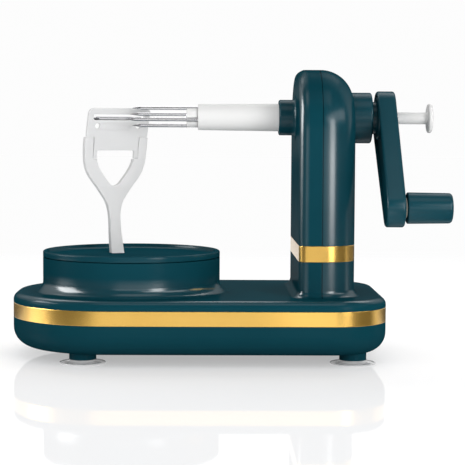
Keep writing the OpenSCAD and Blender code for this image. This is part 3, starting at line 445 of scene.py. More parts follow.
def cut_out(name, outline, holes, thick, edge, place, angle=35, segments=3):
    """A plate cut from an outline in millimetres, with holes and rounded rims, thick along its own Z."""
    obj = start_line(name)
    draw([(x * MM, y * MM, 0) for x, y in loop(outline)])
    for hole in holes:
        bpy.ops.mesh.select_all(action="DESELECT")
        bpy.ops.mesh.primitive_plane_add(size=POINT)
        bpy.ops.mesh.merge(type="CENTER")
        draw([(x * MM, y * MM, 0) for x, y in loop(hole)])
    bpy.ops.mesh.select_all(action="SELECT")
    bpy.ops.mesh.remove_doubles(threshold=MERGE)
    bpy.ops.mesh.select_all(action="SELECT")
    if holes:
        bpy.ops.mesh.fill(use_beauty=True)
    else:
        bpy.ops.mesh.edge_face_add()
    bpy.ops.mesh.select_all(action="SELECT")
    bpy.ops.mesh.extrude_region_move(TRANSFORM_OT_translate={"value": (0, 0, thick * MM)})
    tidy()
    if edge > 0:
        bpy.ops.mesh.select_all(action="DESELECT")
        bpy.ops.mesh.select_mode(type="EDGE")
        bpy.ops.mesh.edges_select_sharp(sharpness=math.radians(60))
        bpy.ops.mesh.bevel(offset=edge * MM, segments=segments, profile=0.5, affect="EDGES",
                           clamp_overlap=True)
        bpy.ops.mesh.select_mode(type="VERT")
    put(obj, place)
    smooth(obj, angle)
    return obj


def joined(first, *others):
    """Joins the others to the first piece, which keeps its name."""
    let_go()
    for other in others:
        other.select_set(True)
    first.select_set(True)
    bpy.context.view_layer.objects.active = first
    bpy.ops.object.join()
    return first


def drilled(obj, cutter):
    """Cuts one closed piece with another, which is used up."""
    hold(obj)
    cut = obj.modifiers.new("cut", "BOOLEAN")
    cut.operation = "DIFFERENCE"
    cut.solver = "EXACT"
    cut.object = cutter
    bpy.ops.object.modifier_apply(modifier=cut.name)
    bpy.data.objects.remove(cutter)
    return obj


def bar(name, low, high, edge=0.0):
    """A box between two corners in millimetres, its edges rounded."""
    let_go()
    middle = [(a + b) / 2 * MM for a, b in zip(low, high)]
    bpy.ops.mesh.primitive_cube_add(size=1, location=middle)
    obj = bpy.context.object
    obj.name = name
    obj.scale = [(b - a) * MM for a, b in zip(low, high)]
    bpy.ops.object.transform_apply(location=True, rotation=True, scale=True)
    if edge > 0:
        soften = obj.modifiers.new("soften", "BEVEL")
        soften.width = edge * MM
        soften.segments = 3
        bpy.ops.object.modifier_apply(modifier=soften.name)
    return obj


def coil(name, radius, wire, length, turns, place):
    """A coil spring along its own Z, from 0 to length."""
    let_go()
    bpy.ops.mesh.primitive_circle_add(vertices=10, radius=wire * MM, location=(radius * MM, 0, wire * MM),
                                      rotation=(math.pi / 2, 0, 0))
    obj = bpy.context.object
    obj.name = name
    bpy.ops.object.transform_apply(location=True, rotation=True)
    wind = obj.modifiers.new("wind", "SCREW")
    wind.axis = "Z"
    wind.angle = 2 * math.pi * turns
    wind.screw_offset = (length - 2 * wire) * MM
    wind.steps = wind.render_steps = int(28 * turns)
    bpy.ops.object.modifier_apply(modifier=wind.name)
    bpy.ops.object.mode_set(mode="EDIT")
    bpy.ops.mesh.select_all(action="SELECT")
    bpy.ops.mesh.select_mode(type="EDGE")
    bpy.ops.mesh.select_non_manifold()
    bpy.ops.mesh.edge_face_add()
    bpy.ops.mesh.select_mode(type="VERT")
    tidy()
    put(obj, place)
    smooth(obj, 60)
    return obj


def along_x(x, y=0.0, z=AXIS_Z):
    """Place whose own Z runs along X, from the given point in millimetres."""
    return Matrix.Translation((x * MM, y * MM, z * MM)) @ Matrix.Rotation(math.pi / 2, 4, "Y")


def upright(x, y, z):
    return Matrix.Translation((x * MM, y * MM, z * MM))


GRIP_Y = -CRANK_R * math.sin(CRANK_REST)
GRIP_Z = AXIS_Z - CRANK_R * math.cos(CRANK_REST)
FOOT_LEFT, FOOT_BACK = 5.5, 15.9
PEELER = (Matrix.Translation((TRAY_X * MM, 0, DISH_Z * MM)) @ Matrix.Rotation(PEELER_TURN, 4, "Z")
          @ Matrix.Translation((-FOOT_LEFT * MM, FOOT_BACK * MM, 0)))
# Own X is the peeler's width, own Y its height, own Z points forward
PEELER_FACE = PEELER @ Matrix.Rotation(math.pi / 2, 4, "X")


def dress(obj, finish, body, *stands_for, slot=None):
    """Gives a finished piece its finish and its body, and puts it in place of CAD nodes."""
    wear(obj, finish)
    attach(obj, body)
    if stands_for:
        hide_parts(*stands_for)
    return obj


# Fork

def fork_tube():
    start, end = MOUTH_X, PILLAR_X0 - 1.2
    profile = rounded([(0, 7.25), (0, 8.0), (BOSS_X0 - start, 8.52), (end - start, 8.55), (end - start, 5.05),
                       (15, 5.05), (15, 7.25)], [0.25, 0.7, 0, 0.4, 0.3, 0, 0])
    tube = turned("fork_tube_shell", loop(profile), along_x(start))
    dress(tube, WHITE, "crank", "fork_tube", slot="white_plastic")


def prong_spots():
    for i in range(4):
        turn = math.radians(PRONG_PHASE + 90 * i)
        yield i, -PRONG_RING_R * math.cos(turn), PRONG_RING_R * math.sin(turn)


def prongs():
    tips = (0.0, 1.5, 0.0, 4.0)
    names = ("prong_top", "prong_back", "prong_bottom", "prong_front")
    for i, y, dz in prong_spots():
        start = TRAY_X - tips[i]
        end = MOUTH_X + 14.7 - start
        profile = rounded([(0, 0), (0.12, 0.13), (5.6, 1.1), (end, 1.1), (end, 0)], [0, 0.12, 9, 0.15, 0],
                          closed=False, steps=7)
        pin = turned(names[i] + "_pin", profile, along_x(start, y, AXIS_Z + dz), 32)
        dress(pin, FORK_STEEL, "crank", names[i], slot="fork_steel")


def round_hole(x, y, radius, count=32):
    return [(x + radius * math.cos(2 * math.pi * k / count), y + radius * math.sin(2 * math.pi * k / count))
            for k in range(count)]


def prong_holder():
    # own X points down and own Y to the back when own Z runs along +X
    holes = [round_hole(-dz, y, 1.13, 20) for _, y, dz in prong_spots()] + [round_hole(0, 0, 2.1, 28)]
    plug = cut_out("prong_holder_plug", round_hole(0, 0, 7.2, 72), holes, 14, 0.25, along_x(MOUTH_X + 1))
    dress(plug, WHITE, "crank", "prong_holder", slot="white_plastic")


def ejector_block():
    ring = []
    spots = sorted(math.atan2(y, -dz) for _, y, dz in prong_spots())
    for n, turn in enumerate(spots):
        middle = (PRONG_RING_R * math.cos(turn), PRONG_RING_R * math.sin(turn))
        for k in range(11):
            swing = turn - math.radians(118) - math.radians(124) * k / 10
            ring.append((middle[0] + 1.4 * math.cos(swing), middle[1] + 1.4 * math.sin(swing)))
        ahead = spots[(n + 1) % 4] + (2 * math.pi if n == 3 else 0)
        for k in range(1, 12):
            swing = turn + math.radians(13) + (ahead - turn - math.radians(26)) * (k - 1) / 10
            ring.append((BLOCK_R * math.cos(swing), BLOCK_R * math.sin(swing)))
    block = cut_out("ejector_block_body", ring, [round_hole(0, 0, 1.85, 28)], BLOCK_L, 0.45,
                    along_x(MOUTH_X - BLOCK_L))
    dress(block, WHITE, "ejector", "ejector_block", slot="white_plastic")


def ejector_rod():
    start, end = MOUTH_X - BLOCK_L - 0.6, ARM_X1
    length = end - start
    profile = rounded([(0, 0), (0, 1.8), (length, 1.8), (length, 0)], [0, 0.5, 0.3, 0], closed=False)
    rod = turned("ejector_rod_bar", profile, along_x(start), 40)
    dress(rod, FORK_STEEL, "ejector", "ejector_rod", slot="fork_steel")


def ejector_button():
    start = ARM_X1 - 8
    disc = BUTTON_X0 - start
    profile = rounded([(0, 1.85), (0, 3.65), (disc, 3.65), (disc, 9.1), (disc + 2.8, 9.1), (disc + 2.8, 6.2),
                       (disc + 2.5, 5.6), (disc + 2.5, 0)],
                      [0, 0.3, 0.6, 1.1, 1.3, 0.5, 0.5, 0], closed=False)
    profile.insert(0, (8.0, 0.0))
    profile.insert(1, (8.0, 1.85))
    knob = turned("ejector_button_head", profile, along_x(start), 72)
    dress(knob, WHITE, "ejector", "ejector_button", slot="white_plastic")


# Crank

def arm_outline(grow=0.0):
    hub, end = 16.6 + grow, 11.4 + grow
    lean = math.asin((hub - end) / CRANK_R)
    points = []
    for k in range(33):
        turn = -lean + (math.pi + 2 * lean) * k / 32
        points.append((hub * math.cos(turn), hub * math.sin(turn)))
    for k in range(29):
        turn = math.pi + lean + (math.pi - 2 * lean) * k / 28
        points.append((end * math.cos(turn), -CRANK_R + end * math.sin(turn)))
    return points


def arm_place(x):
    """Own Z along +X, own -Y along the crank at rest."""
    return (Matrix.Translation((x * MM, 0, AXIS_Z * MM)) @ Matrix.Rotation(-CRANK_REST, 4, "X")
            @ Matrix.Rotation(math.pi / 2, 4, "Z") @ Matrix.Rotation(math.pi / 2, 4, "X"))


def crank_arm():
    arm = cut_out("crank_arm_body", arm_outline(), [], ARM_X1 - ARM_X0, 1.35, Matrix(), 40, 4)
    # the shallow pocket on the side of the pillar, inside a rim
    pocket = cut_out("pocket", arm_outline(-2.2), [], 3.0, 0, Matrix.Translation((0, 0, -1.6 * MM)))
    drilled(arm, pocket)
    stem = turned("stem_hole", rounded([(4, 0), (4, 3.95), (13, 3.95), (13, 0)], 0, closed=False),
                  Matrix(), 48)
    drilled(arm, stem)
    put(arm, arm_place(ARM_X0))
    smooth(arm, 35)
    neck = turned("neck", rounded([(0, 6.25), (0, 10.0), (5.1, 10.0), (5.1, 6.25)], [0.3, 0.8, 0, 0]) +
                  [(0.3, 6.25)], along_x(ARM_X0 - 3.75), 72)
    boss = turned("boss",
                  rounded([(0, 6.25), (0, 13.0), (3.4, 13.6), (3.4, 6.25)], [0, 0.8, 0, 0]) + [(0, 6.25)],
                  along_x(ARM_X0 + 0.02), 72)
    arm = joined(arm, neck, boss)
    dress(arm, TEAL, "crank", "crank_arm", slot="teal_plastic")


def grip():
    length = GRIP_X1 - GRIP_X0 - 1.15
    profile = rounded([(0, 3.05), (0, 9.3), (length - 1.2, 8.95), (length, 7.9), (length, 0)],
                      [0, 0.7, 2.2, 1.5, 0], closed=False, steps=6)
    profile = [(length - 2.4, 0), (length - 2.4, 3.05)] + profile
    knob = turned("grip_barrel", profile, along_x(GRIP_X0, GRIP_Y, GRIP_Z), 80)
    dress(knob, TEAL, "grip", "grip", slot="teal_plastic")


def grip_spindle():
    length = GRIP_X1 - 2 * 2.4 - (ARM_X0 + 2.4)
    profile = rounded([(0, 0), (0, 3), (length - 2, 3), (length - 2, 3.6), (length, 3.1), (length, 0)],
                      [0, 0.3, 0, 0.2, 0.3, 0], closed=False, steps=3)
    pin = turned("grip_spindle_pin", profile, along_x(ARM_X0 + 2.4, GRIP_Y, GRIP_Z), 40)
    dress(pin, SCREW_STEEL, "crank", "grip_spindle", slot="screw_steel")
    washer = turned("grip_washer_ring", loop(rounded([(0, 3.05), (0, 6), (1.4, 6), (1.4, 3.05)], 0.25)),
                    along_x(ARM_X1, GRIP_Y, GRIP_Z), 48)
    dress(washer, NYLON, "crank", "grip_washer", slot="nylon")


# Peeler

BOW, BOW_W = 8.5, 40.0
BOW_R = (BOW_W ** 2 + BOW ** 2) / (2 * BOW)
ARMS_H, ARMS_HALF, PEELER_H = 72.9, 20.2, 91.0
HANDLE_T, CARRIER_T, FOOT_HALF = 6.0, 2.6, 4.1
PIVOT_W, PIVOT_V, PIVOT_HOLE_R, PIVOT_EYE_R = -5, -2, 1.25, 3
EAR_T, EAR_GAP = 2.5, 0.3
SLOT_HALF, CARRIER_HOLE_R, HOLE_DOWN = 0.81 * ARMS_HALF, 1.7, 11.1
HANDLE_OUTER = [(0.203, 0), (0.183, 0.15), (0.168, 0.26), (0.178, 0.335), (0.225, 0.405), (0.31, 0.46),
                (0.43, 0.512), (0.565, 0.567), (0.71, 0.62), (0.825, 0.668), (0.905, 0.715), (0.955, 0.765),
                (0.985, 0.83), (1, 0.91), (1, 1)]
HANDLE_INNER = [(0.585, 0.81), (0.575, 0.785), (0.52, 0.745), (0.43, 0.7), (0.3, 0.648), (0.17, 0.6),
                (0.1, 0.583)]


def flowing(points, between=4):
    """A smooth line through the points."""
    out = []
    for i in range(len(points) - 1):
        a = Vector(points[max(i - 1, 0)])
        b = Vector(points[i])
        c = Vector(points[i + 1])
        d = Vector(points[min(i + 2, len(points) - 1)])
        for k in range(between):
            t = k / between
            out.append(tuple(0.5 * ((2 * b) + (c - a) * t + (2 * a - 5 * b + 4 * c - d) * t * t
                                    + (3 * b - a - 3 * c + d) * t ** 3)))
    out.append(tuple(points[-1]))
    return out


def bent(obj, levels):
    """Cuts a flat upright plate across at the levels and bows it backwards.
    The plate lies in its own XY plane, with its height along Y."""
    hold(obj)
    bpy.ops.object.mode_set(mode="EDIT")
    for level in levels:
        bpy.ops.mesh.select_all(action="SELECT")
        bpy.ops.mesh.bisect(plane_co=(0, level * MM, 0), plane_no=(0, 1, 0))
    bpy.ops.object.mode_set(mode="OBJECT")
    for vertex in obj.data.vertices:
        depth, height = vertex.co.z / MM, vertex.co.y / MM
        # own Z points forward, so the plate's middle surface moves to minus the bow
        radius = BOW_R - depth
        lift = height - BOW_W
        back = BOW - BOW_R + math.sqrt(max(radius ** 2 - lift ** 2, 0.0))
        vertex.co.z = -back * MM
    return obj


def peeler_handle():
    outer = flowing([(u * ARMS_HALF, w * ARMS_H) for u, w in HANDLE_OUTER], 3)
    notch = [(0.73 * ARMS_HALF, ARMS_H), (0.715 * ARMS_HALF, 0.81 * ARMS_H)]
    inner = flowing([(u * ARMS_HALF, w * ARMS_H) for u, w in HANDLE_INNER], 3)
    step = rounded([outer[-1]] + notch + [inner[0]], [0, 0.5, 0.5, 0], False, 3)[1:-1]
    right = [(4.1, -2.2)] + outer + step + inner
    left = [(-u, w) for u, w in reversed(right)]
    outline = right + [(0, 0.577 * ARMS_H)] + left
    handle = cut_out("peeler_handle_body", outline, [], HANDLE_T, 0.7,
                     Matrix.Translation((0, 0, -HANDLE_T / 2 * MM)), 40, 3)
    bent(handle, [k * 2.5 for k in range(0, 29)])
    eye = turned("eye", rounded([(0, 1.25), (0, 3), (8.2, 3), (8.2, 1.25)], [0, 0.4, 0.4, 0]) + [(0, 1.25)],
                 Matrix.Translation((-4.1 * MM, -5 * MM, 2 * MM)) @ Matrix.Rotation(math.pi / 2, 4, "Y"), 40)
    neck = bar("neck", (-4.1, -4.0, -1.0), (4.1, -0.3, 4.6), 0.4)
    handle = joined(handle, eye, neck)
    put(handle, PEELER_FACE)
    smooth(handle, 35)
    dress(handle, GREY, "peeler", "peeler_handle", slot="grey_plastic")


def blade_carrier():
    half, leg, inside = 0.975 * ARMS_HALF, 0.715 * ARMS_HALF - 0.05, 0.588 * ARMS_HALF
    right = [(inside, 0.885 * ARMS_H), (inside, 0.815 * ARMS_H), (leg, 0.815 * ARMS_H), (leg, ARMS_H + 0.05),
             (half, ARMS_H + 0.05), (half, PEELER_H)]
    radii = [0.8, 0.4, 0.4, 0.2, 0.7, 3.2]
    outline = rounded(right + [(-u, w) for u, w in reversed(right)], radii + list(reversed(radii)), True, 5)
    slot_low, slot_high = 83.2, 87.1
    slot = rounded([(-SLOT_HALF, slot_low), (SLOT_HALF, slot_low),
                    (SLOT_HALF, slot_high), (-SLOT_HALF, slot_high)], 0.7, True, 3)
    eyes = [round_hole(s * 0.65 * ARMS_HALF, PEELER_H - HOLE_DOWN, CARRIER_HOLE_R, 28) for s in (-1, 1)]
    plate = cut_out("blade_carrier_plate", outline, [slot] + eyes, CARRIER_T, 0.35,
                    Matrix.Translation((0, 0, 0.4 * MM)), 40, 2)
    levels = [k * 2.5 for k in range(24, 37)] + [77.3, 77.4]
    bent(plate, sorted(levels))
    # the tongue lies a little deeper than the head of the carrier
    for vertex in plate.data.vertices:
        height = vertex.co.y / MM
        if height < 77.35:
            vertex.co.z -= 0.16 * MM
    put(plate, PEELER_FACE)
    smooth(plate, 35)
    dress(plate, GREY, "peeler", "blade_carrier", slot="grey_plastic")


BLADE_W = 84.55
BLADE_BACK = BOW - BOW_R + math.sqrt((BOW_R - 1.7) ** 2 - (BLADE_W - BOW_W) ** 2)


def blade():
    half = SLOT_HALF - 0.4
    outline = rounded([(-half, -1.1), (half, -1.1), (half - 1.7, 1.1), (1.7 - half, 1.1)],
                      [0.4, 0.4, 0.6, 0.6])
    slit_half = half - 3.4
    slit = rounded([(-slit_half, -0.35), (slit_half, -0.35), (slit_half, 0.3), (-slit_half, 0.3)],
                   0.25, True, 3)
    lean = math.asin((BLADE_W - BOW_W) / BOW_R)
    place = (PEELER_FACE @ Matrix.Translation((0, BLADE_W * MM, -BLADE_BACK * MM))
             @ Matrix.Rotation(lean, 4, "X"))
    strip = cut_out("blade_strip", outline, [slit], 0.55, 0.12, Matrix.Translation((0, 0, -0.28 * MM)), 40, 2)
    hold(strip)
    bpy.ops.object.mode_set(mode="EDIT")
    for level in (-0.8, -0.5, 0.0, 0.5, 0.8):
        bpy.ops.mesh.select_all(action="SELECT")
        bpy.ops.mesh.bisect(plane_co=(0, level * MM, 0), plane_no=(0, 1, 0))
    bpy.ops.object.mode_set(mode="OBJECT")
    # crowned across, with the two cutting lips of the slit turned forward
    for vertex in strip.data.vertices:
        vertex.co.z += (0.35 - 0.28 * (vertex.co.y / MM) ** 2) * MM
    put(strip, place)
    smooth(strip, 35)
    dress(strip, BLADE_STEEL, "blade", "blade", slot="blade_steel")
    ends = []
    for side in (-1, 1):
        turn = Matrix.Rotation(side * math.pi / 2, 4, "Y")
        profile = rounded([(half - 1.6, 0), (half - 1.6, 0.5), (half + 2.0, 0.5), (half + 2.0, 0)],
                          [0, 0.1, 0.2, 0], closed=False, steps=2)
        at = PEELER_FACE @ Matrix.Translation((0, BLADE_W * MM, -BLADE_BACK * MM)) @ turn
        ends.append(turned("blade_pivot", profile, at, 24))
    pivots = joined(*ends)
    pivots.name = "blade_pivot_pins"
    dress(pivots, BLADE_STEEL, "blade", "blade_pivots", slot="blade_steel")


def torsion_spring():
    start = FOOT_HALF + EAR_GAP + EAR_T + EAR_GAP
    place = (PEELER @ Matrix.Translation((start * MM, PIVOT_V * MM, PIVOT_W * MM))
             @ Matrix.Rotation(math.pi / 2, 4, "Y"))
    wound = coil("torsion_spring_coil", 1.75, 0.38, 5.0, 5, place)
    dress(wound, SCREW_STEEL, "turntable", "torsion_spring", slot="screw_steel")


def return_spring():
    low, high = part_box("return_spring")
    start, end = low.x / MM, high.x / MM
    wound = coil("return_spring_coil", 3.1, 0.42, end - start, 11, along_x(start))
    dress(wound, SCREW_STEEL, "crank", "return_spring", slot="screw_steel")


# Trim, screws and feet

def base_outline(grow):
    """Plan of the base: two large corners at the turntable and two small ones at the crank."""
    points = []
    large, small = 60, 34
    for cx, cy, radius, first in ((-72.25, -7.3, large, 180), (61.15, -33.3, small, 270),
                                  (61.15, 33.3, small, 0), (-72.25, 7.3, large, 90)):
        for k in range(25):
            turn = math.radians(first + 90 * k / 24)
            points.append((cx + (radius + grow) * math.cos(turn), cy + (radius + grow) * math.sin(turn)))
    return points


def pillar_outline(grow):
    """Plan of the pillar: small corners towards the fork and large ones towards the crank."""
    points = []
    small, large = 5, 20
    for cx, cy, radius, first in ((46.75, -41.7, small, 180), (56.45, -26.7, large, 270),
                                  (56.45, 26.7, large, 0), (46.75, 41.7, small, 90)):
        for k in range(15):
            turn = math.radians(first + 90 * k / 14)
            points.append((cx + (radius + grow) * math.cos(turn), cy + (radius + grow) * math.sin(turn)))
    return points


def band(name, outline, z0, z1, node):
    ring = cut_out(name, outline(0.0), [outline(-0.75)], z1 - z0, 0.0, upright(0, 0, z0), 40)
    hold(ring)
    bpy.ops.object.mode_set(mode="EDIT")
    bpy.ops.mesh.select_all(action="DESELECT")
    bpy.ops.mesh.select_mode(type="EDGE")
    bpy.ops.mesh.edges_select_sharp(sharpness=math.radians(60))
    bpy.ops.mesh.bevel(offset=0.28 * MM, segments=3, profile=0.5, affect="EDGES", clamp_overlap=True)
    bpy.ops.mesh.select_mode(type="VERT")
    smooth(ring, 40)
    dress(ring, GOLD, "frame", node, slot="gold_trim")


def screw_head(name, radius, height, place):
    """A round head with a cross recess, its face towards its own -Z."""
    dome = rounded([(0, 0), (0, radius * 0.8), (height * 0.45, radius), (height, radius), (height, 0)],
                   [0, radius * 0.3, 0.3, 0.1, 0], closed=False)
    head = turned(name, dome, Matrix(), 40)
    for turn in (0, math.pi / 2):
        blade_cut = bar("cross", (-radius * 0.55, -0.35, -1), (radius * 0.55, 0.35, height * 0.55))
        blade_cut.rotation_euler = (0, 0, turn)
        hold(blade_cut)
        bpy.ops.object.transform_apply(rotation=True)
        drilled(head, blade_cut)
    put(head, place)
    smooth(head, 30)
    return head


def screws(name, node, spots, head_z, head_h, head_r, shank_r, top_z):
    made = []
    for x, y in spots:
        head = screw_head(name, head_r, head_h, upright(x, y, head_z))
        length = top_z - head_z - head_h
        grooves = [(0, 0), (0, shank_r)]
        pitch = 1.0
        for k in range(1, int(length / pitch)):
            grooves += [(k * pitch - 0.25, shank_r), (k * pitch, shank_r * 0.82), (k * pitch + 0.25, shank_r)]
        grooves += [(length, shank_r * 0.6), (length, 0)]
        shank = turned("shank", grooves, upright(x, y, head_z + head_h), 24)
        made += [head, shank]
    piece = joined(*made)
    piece.name = name
    body = "turntable" if node == "turntable_screw" else "frame"
    dress(piece, SCREW_STEEL, body, node, slot="screw_steel")


def all_screws():
    base = [(x, s * y) for x, y in ((-116.25, 18), (10.05, 50.3), (83.15, 22)) for s in (-1, 1)]
    low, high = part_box("base_screws")
    screws("base_screw_set", "base_screws", base, low.z / MM, 2.0, 2.65, 1.5, high.z / MM)
    pillar = [(x, s * 33.7) for x in (49.05, 62.05) for s in (-1, 1)]
    low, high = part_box("pillar_screws")
    screws("pillar_screw_set", "pillar_screws", pillar, low.z / MM, 2.4, 2.95, 1.42, high.z / MM)
    low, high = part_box("turntable_screw")
    screws("turntable_screw_set", "turntable_screw", [(TRAY_X, 0)], low.z / MM, 2.4, 3.35, 1.48, high.z / MM)


def suction_cups():
    profile = rounded([(0.75, 0), (0.3, 9.6), (0.0, 10.7), (0.0, 13.7), (0.75, 13.9), (0.75, 13.1),
                       (0.5, 12.4), (0.75, 9.6), (1.25, 8.2), (2.33, 7.2), (2.33, 2.6), (8.0, 2.6), (8.0, 0)],
                      [0, 3, 0.5, 0.25, 0.3, 0.2, 0.4, 1, 1, 0.5, 0.3, 0.4, 0], closed=False, steps=4)
    first = turned("suction_cup", profile, Matrix(), 64, 50)
    for x, sx in ((-86.95, "left"), (74.55, "right")):
        for y, sy in ((-44, "front"), (44, "back")):
            hold(first)
            bpy.ops.object.duplicate()
            cup = bpy.context.object
            cup.name = f"suction_cup_{sy}_{sx}"
            put(cup, upright(x, y, 0))
            dress(cup, CLEAR, "frame", f"cup_{sy}_{sx}", slot="clear_rubber")
    bpy.data.objects.remove(first)


# Turntable

def turntable():
    floor_and_rim = [(0, 0), (0, 49.6), (0.9, 51.7), (2.3, 52.2), (2.8, 52.5), (2.75, 54.3), (2.2, 55.0),
                     (-0.8, 55.0), (-0.8, 52.0), (-2.5, 51.8)]
    rib_and_spindle = [(-2.5, 45.0), (-8.05, 45.0), (-8.05, 43.0), (-2.5, 43.0), (-2.5, 5.0), (-16.9, 5.0),
                       (-16.9, 0)]
    radii = [0, 1.6, 0.9, 0.3, 0.2, 0.4, 0.5, 0.2, 0, 0.3, 0.5, 0.3, 0.3, 0.5, 0.8, 0.5, 0]
    profile = rounded(floor_and_rim + rib_and_spindle, radii, closed=False, steps=4)
    dish = turned("turntable_dish", profile, upright(TRAY_X, 0, DISH_Z), 128)
    slot = bar("slot", (-4.4, -5.6, -4), (4.4, 9.2, 2), 0)
    slot.matrix_world = PEELER
    hold(slot)
    bpy.ops.object.transform_apply(location=True, rotation=True)
    drilled(dish, slot)
    smooth(dish, 35)
    ears = []
    for side in (-1, 1):
        start = FOOT_HALF + EAR_GAP if side > 0 else -(FOOT_HALF + EAR_GAP + EAR_T)
        arc = [(PIVOT_W - PIVOT_EYE_R * math.sin(math.pi * k / 16),
                PIVOT_V - PIVOT_EYE_R * math.cos(math.pi * k / 16)) for k in range(17)]
        flat = [(-2.4, -5)] + arc + [(-2.4, 1)]
        place = PEELER @ Matrix.Translation((start * MM, 0, 0)) @ Matrix.Rotation(math.pi / 2, 4, "Y")
        hole = round_hole(-PIVOT_W, PIVOT_V, PIVOT_HOLE_R, 24)
        ear = cut_out("ear", [(-h, v) for h, v in flat], [hole], EAR_T, 0.2, place)
        ears.append(ear)
    dish = joined(dish, *ears)
    dress(dish, TEAL_DISH, "turntable", "turntable", slot="teal_plastic")


turntable()
fork_tube()
prongs()
prong_holder()
ejector_block()
ejector_rod()
ejector_button()
crank_arm()
grip()
grip_spindle()
peeler_handle()
blade_carrier()
blade()
torsion_spring()
return_spring()
band("base_band_trim", base_outline, 24.6, 33.5, "base_band")
band("pillar_band_trim", pillar_outline, 60.7, 70.4, "pillar_band")
all_screws()
suction_cups()


# Studio

def eye(finish):
    """1 for rays from the camera, from gloss and through clear things."""
    found = [finish.node("ShaderNodeLightPath", output=f"Is {kind} Ray")
             for kind in ("Camera", "Glossy", "Transmission")]
    return (found[0] + found[1] + found[2]).held()


def floor():
    let_go()
    bpy.ops.mesh.primitive_plane_add(size=12, location=(0, 2.5, 0))
    ground = bpy.context.object
    ground.name = "studio_floor"
    put(ground, ground.matrix_world.copy())
    finish = Finish("studio_floor", Roughness=0.6, Specular_IOR_Level=0.0)
    grain = finish.noise(3.0, 2.0)
    finish.set(Base_Color=finish.mixed(grain, linear(206, 206, 207), linear(203, 203, 204)))
    tree = finish.tree
    far = finish.part("Y").inside(0.12, 0.8)
    # the table in front of the view glows for diffuse rays alone, a painted fill light that brightens the
    # undersides of the pieces
    spread = finish.node("ShaderNodeLightPath", output="Is Diffuse Ray")
    front = (0.0 - finish.part("Y")).inside(0.12, 0.2) * (1.0 - (0.0 - finish.part("Y")).inside(0.9, 1.1))
    glow = finish.node("ShaderNodeEmission", {}, {"Color": (1, 1, 1, 1),
                                                  "Strength": eye(finish) * 0.5 + spread * front * 1.4})
    lit = tree.nodes.new("ShaderNodeAddShader")
    tree.links.new(finish.shader.outputs[0], lit.inputs[0])
    tree.links.new(glow.socket, lit.inputs[1])
    white_out = finish.node("ShaderNodeEmission", {}, {"Color": (1, 1, 1, 1), "Strength": 0.98})
    seamless = tree.nodes.new("ShaderNodeMixShader")
    finish.plug(seamless.inputs[0], far * eye(finish))
    tree.links.new(lit.outputs[0], seamless.inputs[1])
    tree.links.new(white_out.socket, seamless.inputs[2])
    polish = finish.node("ShaderNodeBsdfGlossy", {}, {"Color": (1, 1, 1, 1), "Roughness": 0.03})
    polished = tree.nodes.new("ShaderNodeMixShader")
    polished.inputs[0].default_value = 0.16
    tree.links.new(seamless.outputs[0], polished.inputs[1])
    tree.links.new(polish.socket, polished.inputs[2])
    # dark cards lie on the floor round the view, and show in the gloss alone
    across, along = finish.part("X"), finish.part("Y")
    cards = ((0.0 - across).inside(0.14, 0.2) * (0.0 - along).inside(0.1, 0.14)
             + across.inside(0.11, 0.15) * (0.0 - along).inside(0.0, 0.06)
             + (0.0 - along).inside(0.5, 0.65)
             + (0.0 - across).inside(0.15, 0.18) * along.inside(0.06, 0.12)
             + across.inside(0.12, 0.15) * along.inside(0.04, 0.1)).held()
    # and two glowing ones, painted light seen only in the gloss, which show as reflections in the trim
    glowing_gloss_cards = ((0.0 - across).inside(0.26, 0.31) * (1.0 - (0.0 - across).inside(0.42, 0.5))
                 * (along + 0.11).inside(0.0, 0.04) * (1.0 - along.inside(0.02, 0.06))
                 + across.inside(0.0, 0.05) * (1.0 - across.inside(0.1, 0.13))
                 * (0.0 - along).inside(0.16, 0.2) * (1.0 - (0.0 - along).inside(0.42, 0.46)))
    cards = (cards + glowing_gloss_cards).held()
    gloss = finish.node("ShaderNodeLightPath", output="Is Glossy Ray")
    card = finish.node("ShaderNodeEmission", {}, {"Color": (1, 1, 1, 1), "Strength": glowing_gloss_cards * 1.8 + 0.06})
    carded = tree.nodes.new("ShaderNodeMixShader")
    finish.plug(carded.inputs[0], cards * gloss)
    tree.links.new(polished.outputs[0], carded.inputs[1])
    tree.links.new(card.socket, carded.inputs[2])
    tree.links.new(carded.outputs[0], tree.nodes["Material Output"].inputs["Surface"])
    wear(ground, finish)


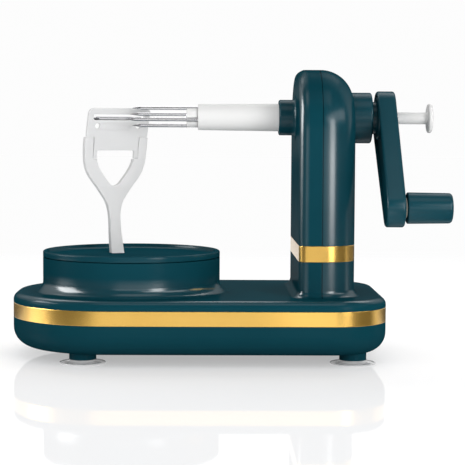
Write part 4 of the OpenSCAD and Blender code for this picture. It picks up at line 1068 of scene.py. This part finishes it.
def world():
    """A white backdrop with a dim room in front of it; plain soft light all round."""
    made = bpy.data.worlds.new("studio")
    bpy.context.scene.world = made
    made.use_nodes = True
    tree = made.node_tree
    tree.nodes.clear()
    out = tree.nodes.new("ShaderNodeOutputWorld")
    ray = tree.nodes.new("ShaderNodeLightPath")
    way = tree.nodes.new("ShaderNodeTexCoord")
    split = tree.nodes.new("ShaderNodeSeparateXYZ")
    tree.links.new(way.outputs["Generated"], split.inputs[0])
    right = Wire(tree, split.outputs[0])
    back = Wire(tree, split.outputs[1])
    flag = (right * -0.5 - back * 0.866).inside(0.88, 0.98)
    side = (right * 0.94 - back * 0.34).inside(0.75, 0.95)
    room = 0.055 - flag * 0.03 - side * 0.025
    backdrop = back.inside(0.1, 0.35)
    shown = backdrop * 0.98 + (1.0 - backdrop) * room
    eyes = [Wire(tree, ray.outputs[f"Is {kind} Ray"]) for kind in ("Camera", "Glossy", "Transmission")]
    seen = (eyes[0] + eyes[1] + eyes[2]).held()
    strength = seen * shown + (1.0 - seen) * 0.53
    light = tree.nodes.new("ShaderNodeBackground")
    light.inputs["Color"].default_value = (1, 1, 1, 1)
    tree.links.new(strength.socket, light.inputs["Strength"])
    tree.links.new(light.outputs[0], out.inputs[0])


def lamp(name, where, aim, size, power, seen_by="all"):
    """A soft box. It may show only in the gloss, or give only the plain light."""
    data = bpy.data.lights.new(name, "AREA")
    data.shape = "RECTANGLE"
    data.size, data.size_y = size
    data.energy = power
    obj = bpy.data.objects.new(name, data)
    bpy.context.scene.collection.objects.link(obj)
    obj.location = where
    obj.rotation_euler = (Vector(aim) - Vector(where)).to_track_quat("-Z", "Y").to_euler()
    obj.visible_glossy = seen_by != "plain"
    obj.visible_diffuse = seen_by != "gloss"


def camera():
    data = bpy.data.cameras.new("view")
    data.sensor_width = 36
    data.lens = 113.4
    data.clip_end = 50
    obj = bpy.data.objects.new("view", data)
    bpy.context.scene.collection.objects.link(obj)
    pitch, yaw, roll = math.radians(3.80), math.radians(1.096), math.radians(0.322)
    turn = Matrix.Rotation(-yaw, 4, "Z") @ Matrix.Rotation(math.radians(90) - pitch, 4, "X")
    turn = turn @ Matrix.Rotation(roll, 4, "Z")
    obj.matrix_world = Matrix.Translation((-14.55 * MM, -913.5 * MM, 136.0 * MM)) @ turn
    bpy.context.scene.camera = obj


floor()
world()
lamp("soft_left", (-1.17, 0.0, 0.5), (0, 0, 0.12), (0.68, 0.78), 19, "gloss")
lamp("plain_left", (-1.0, -0.8, 0.5), (0, 0, 0.1), (0.8, 0.8), 2.3, "plain")
lamp("strip_right", (0.71, -1.08, 0.16), (0, 0, 0.12), (0.36, 0.9), 10)
lamp("soft_back", (0.0, 0.75, 1.0), (0, 0, 0.05), (1.4, 0.5), 6)
lamp("soft_top", (0.1, -0.5, 1.2), (0, 0, 0.05), (0.9, 0.6), 1.6)
lamp("card_front", (0.05, -1.1, 0.17), (0.05, 0, 0.14), (1.0, 0.3), 1.2, "gloss")
lamp("bar_right", (0.7, -0.6, 0.55), (0, 0, 0.05), (1.3, 0.25), 3.0, "gloss")
camera()
bpy.context.scene.view_settings.view_transform = "Standard"
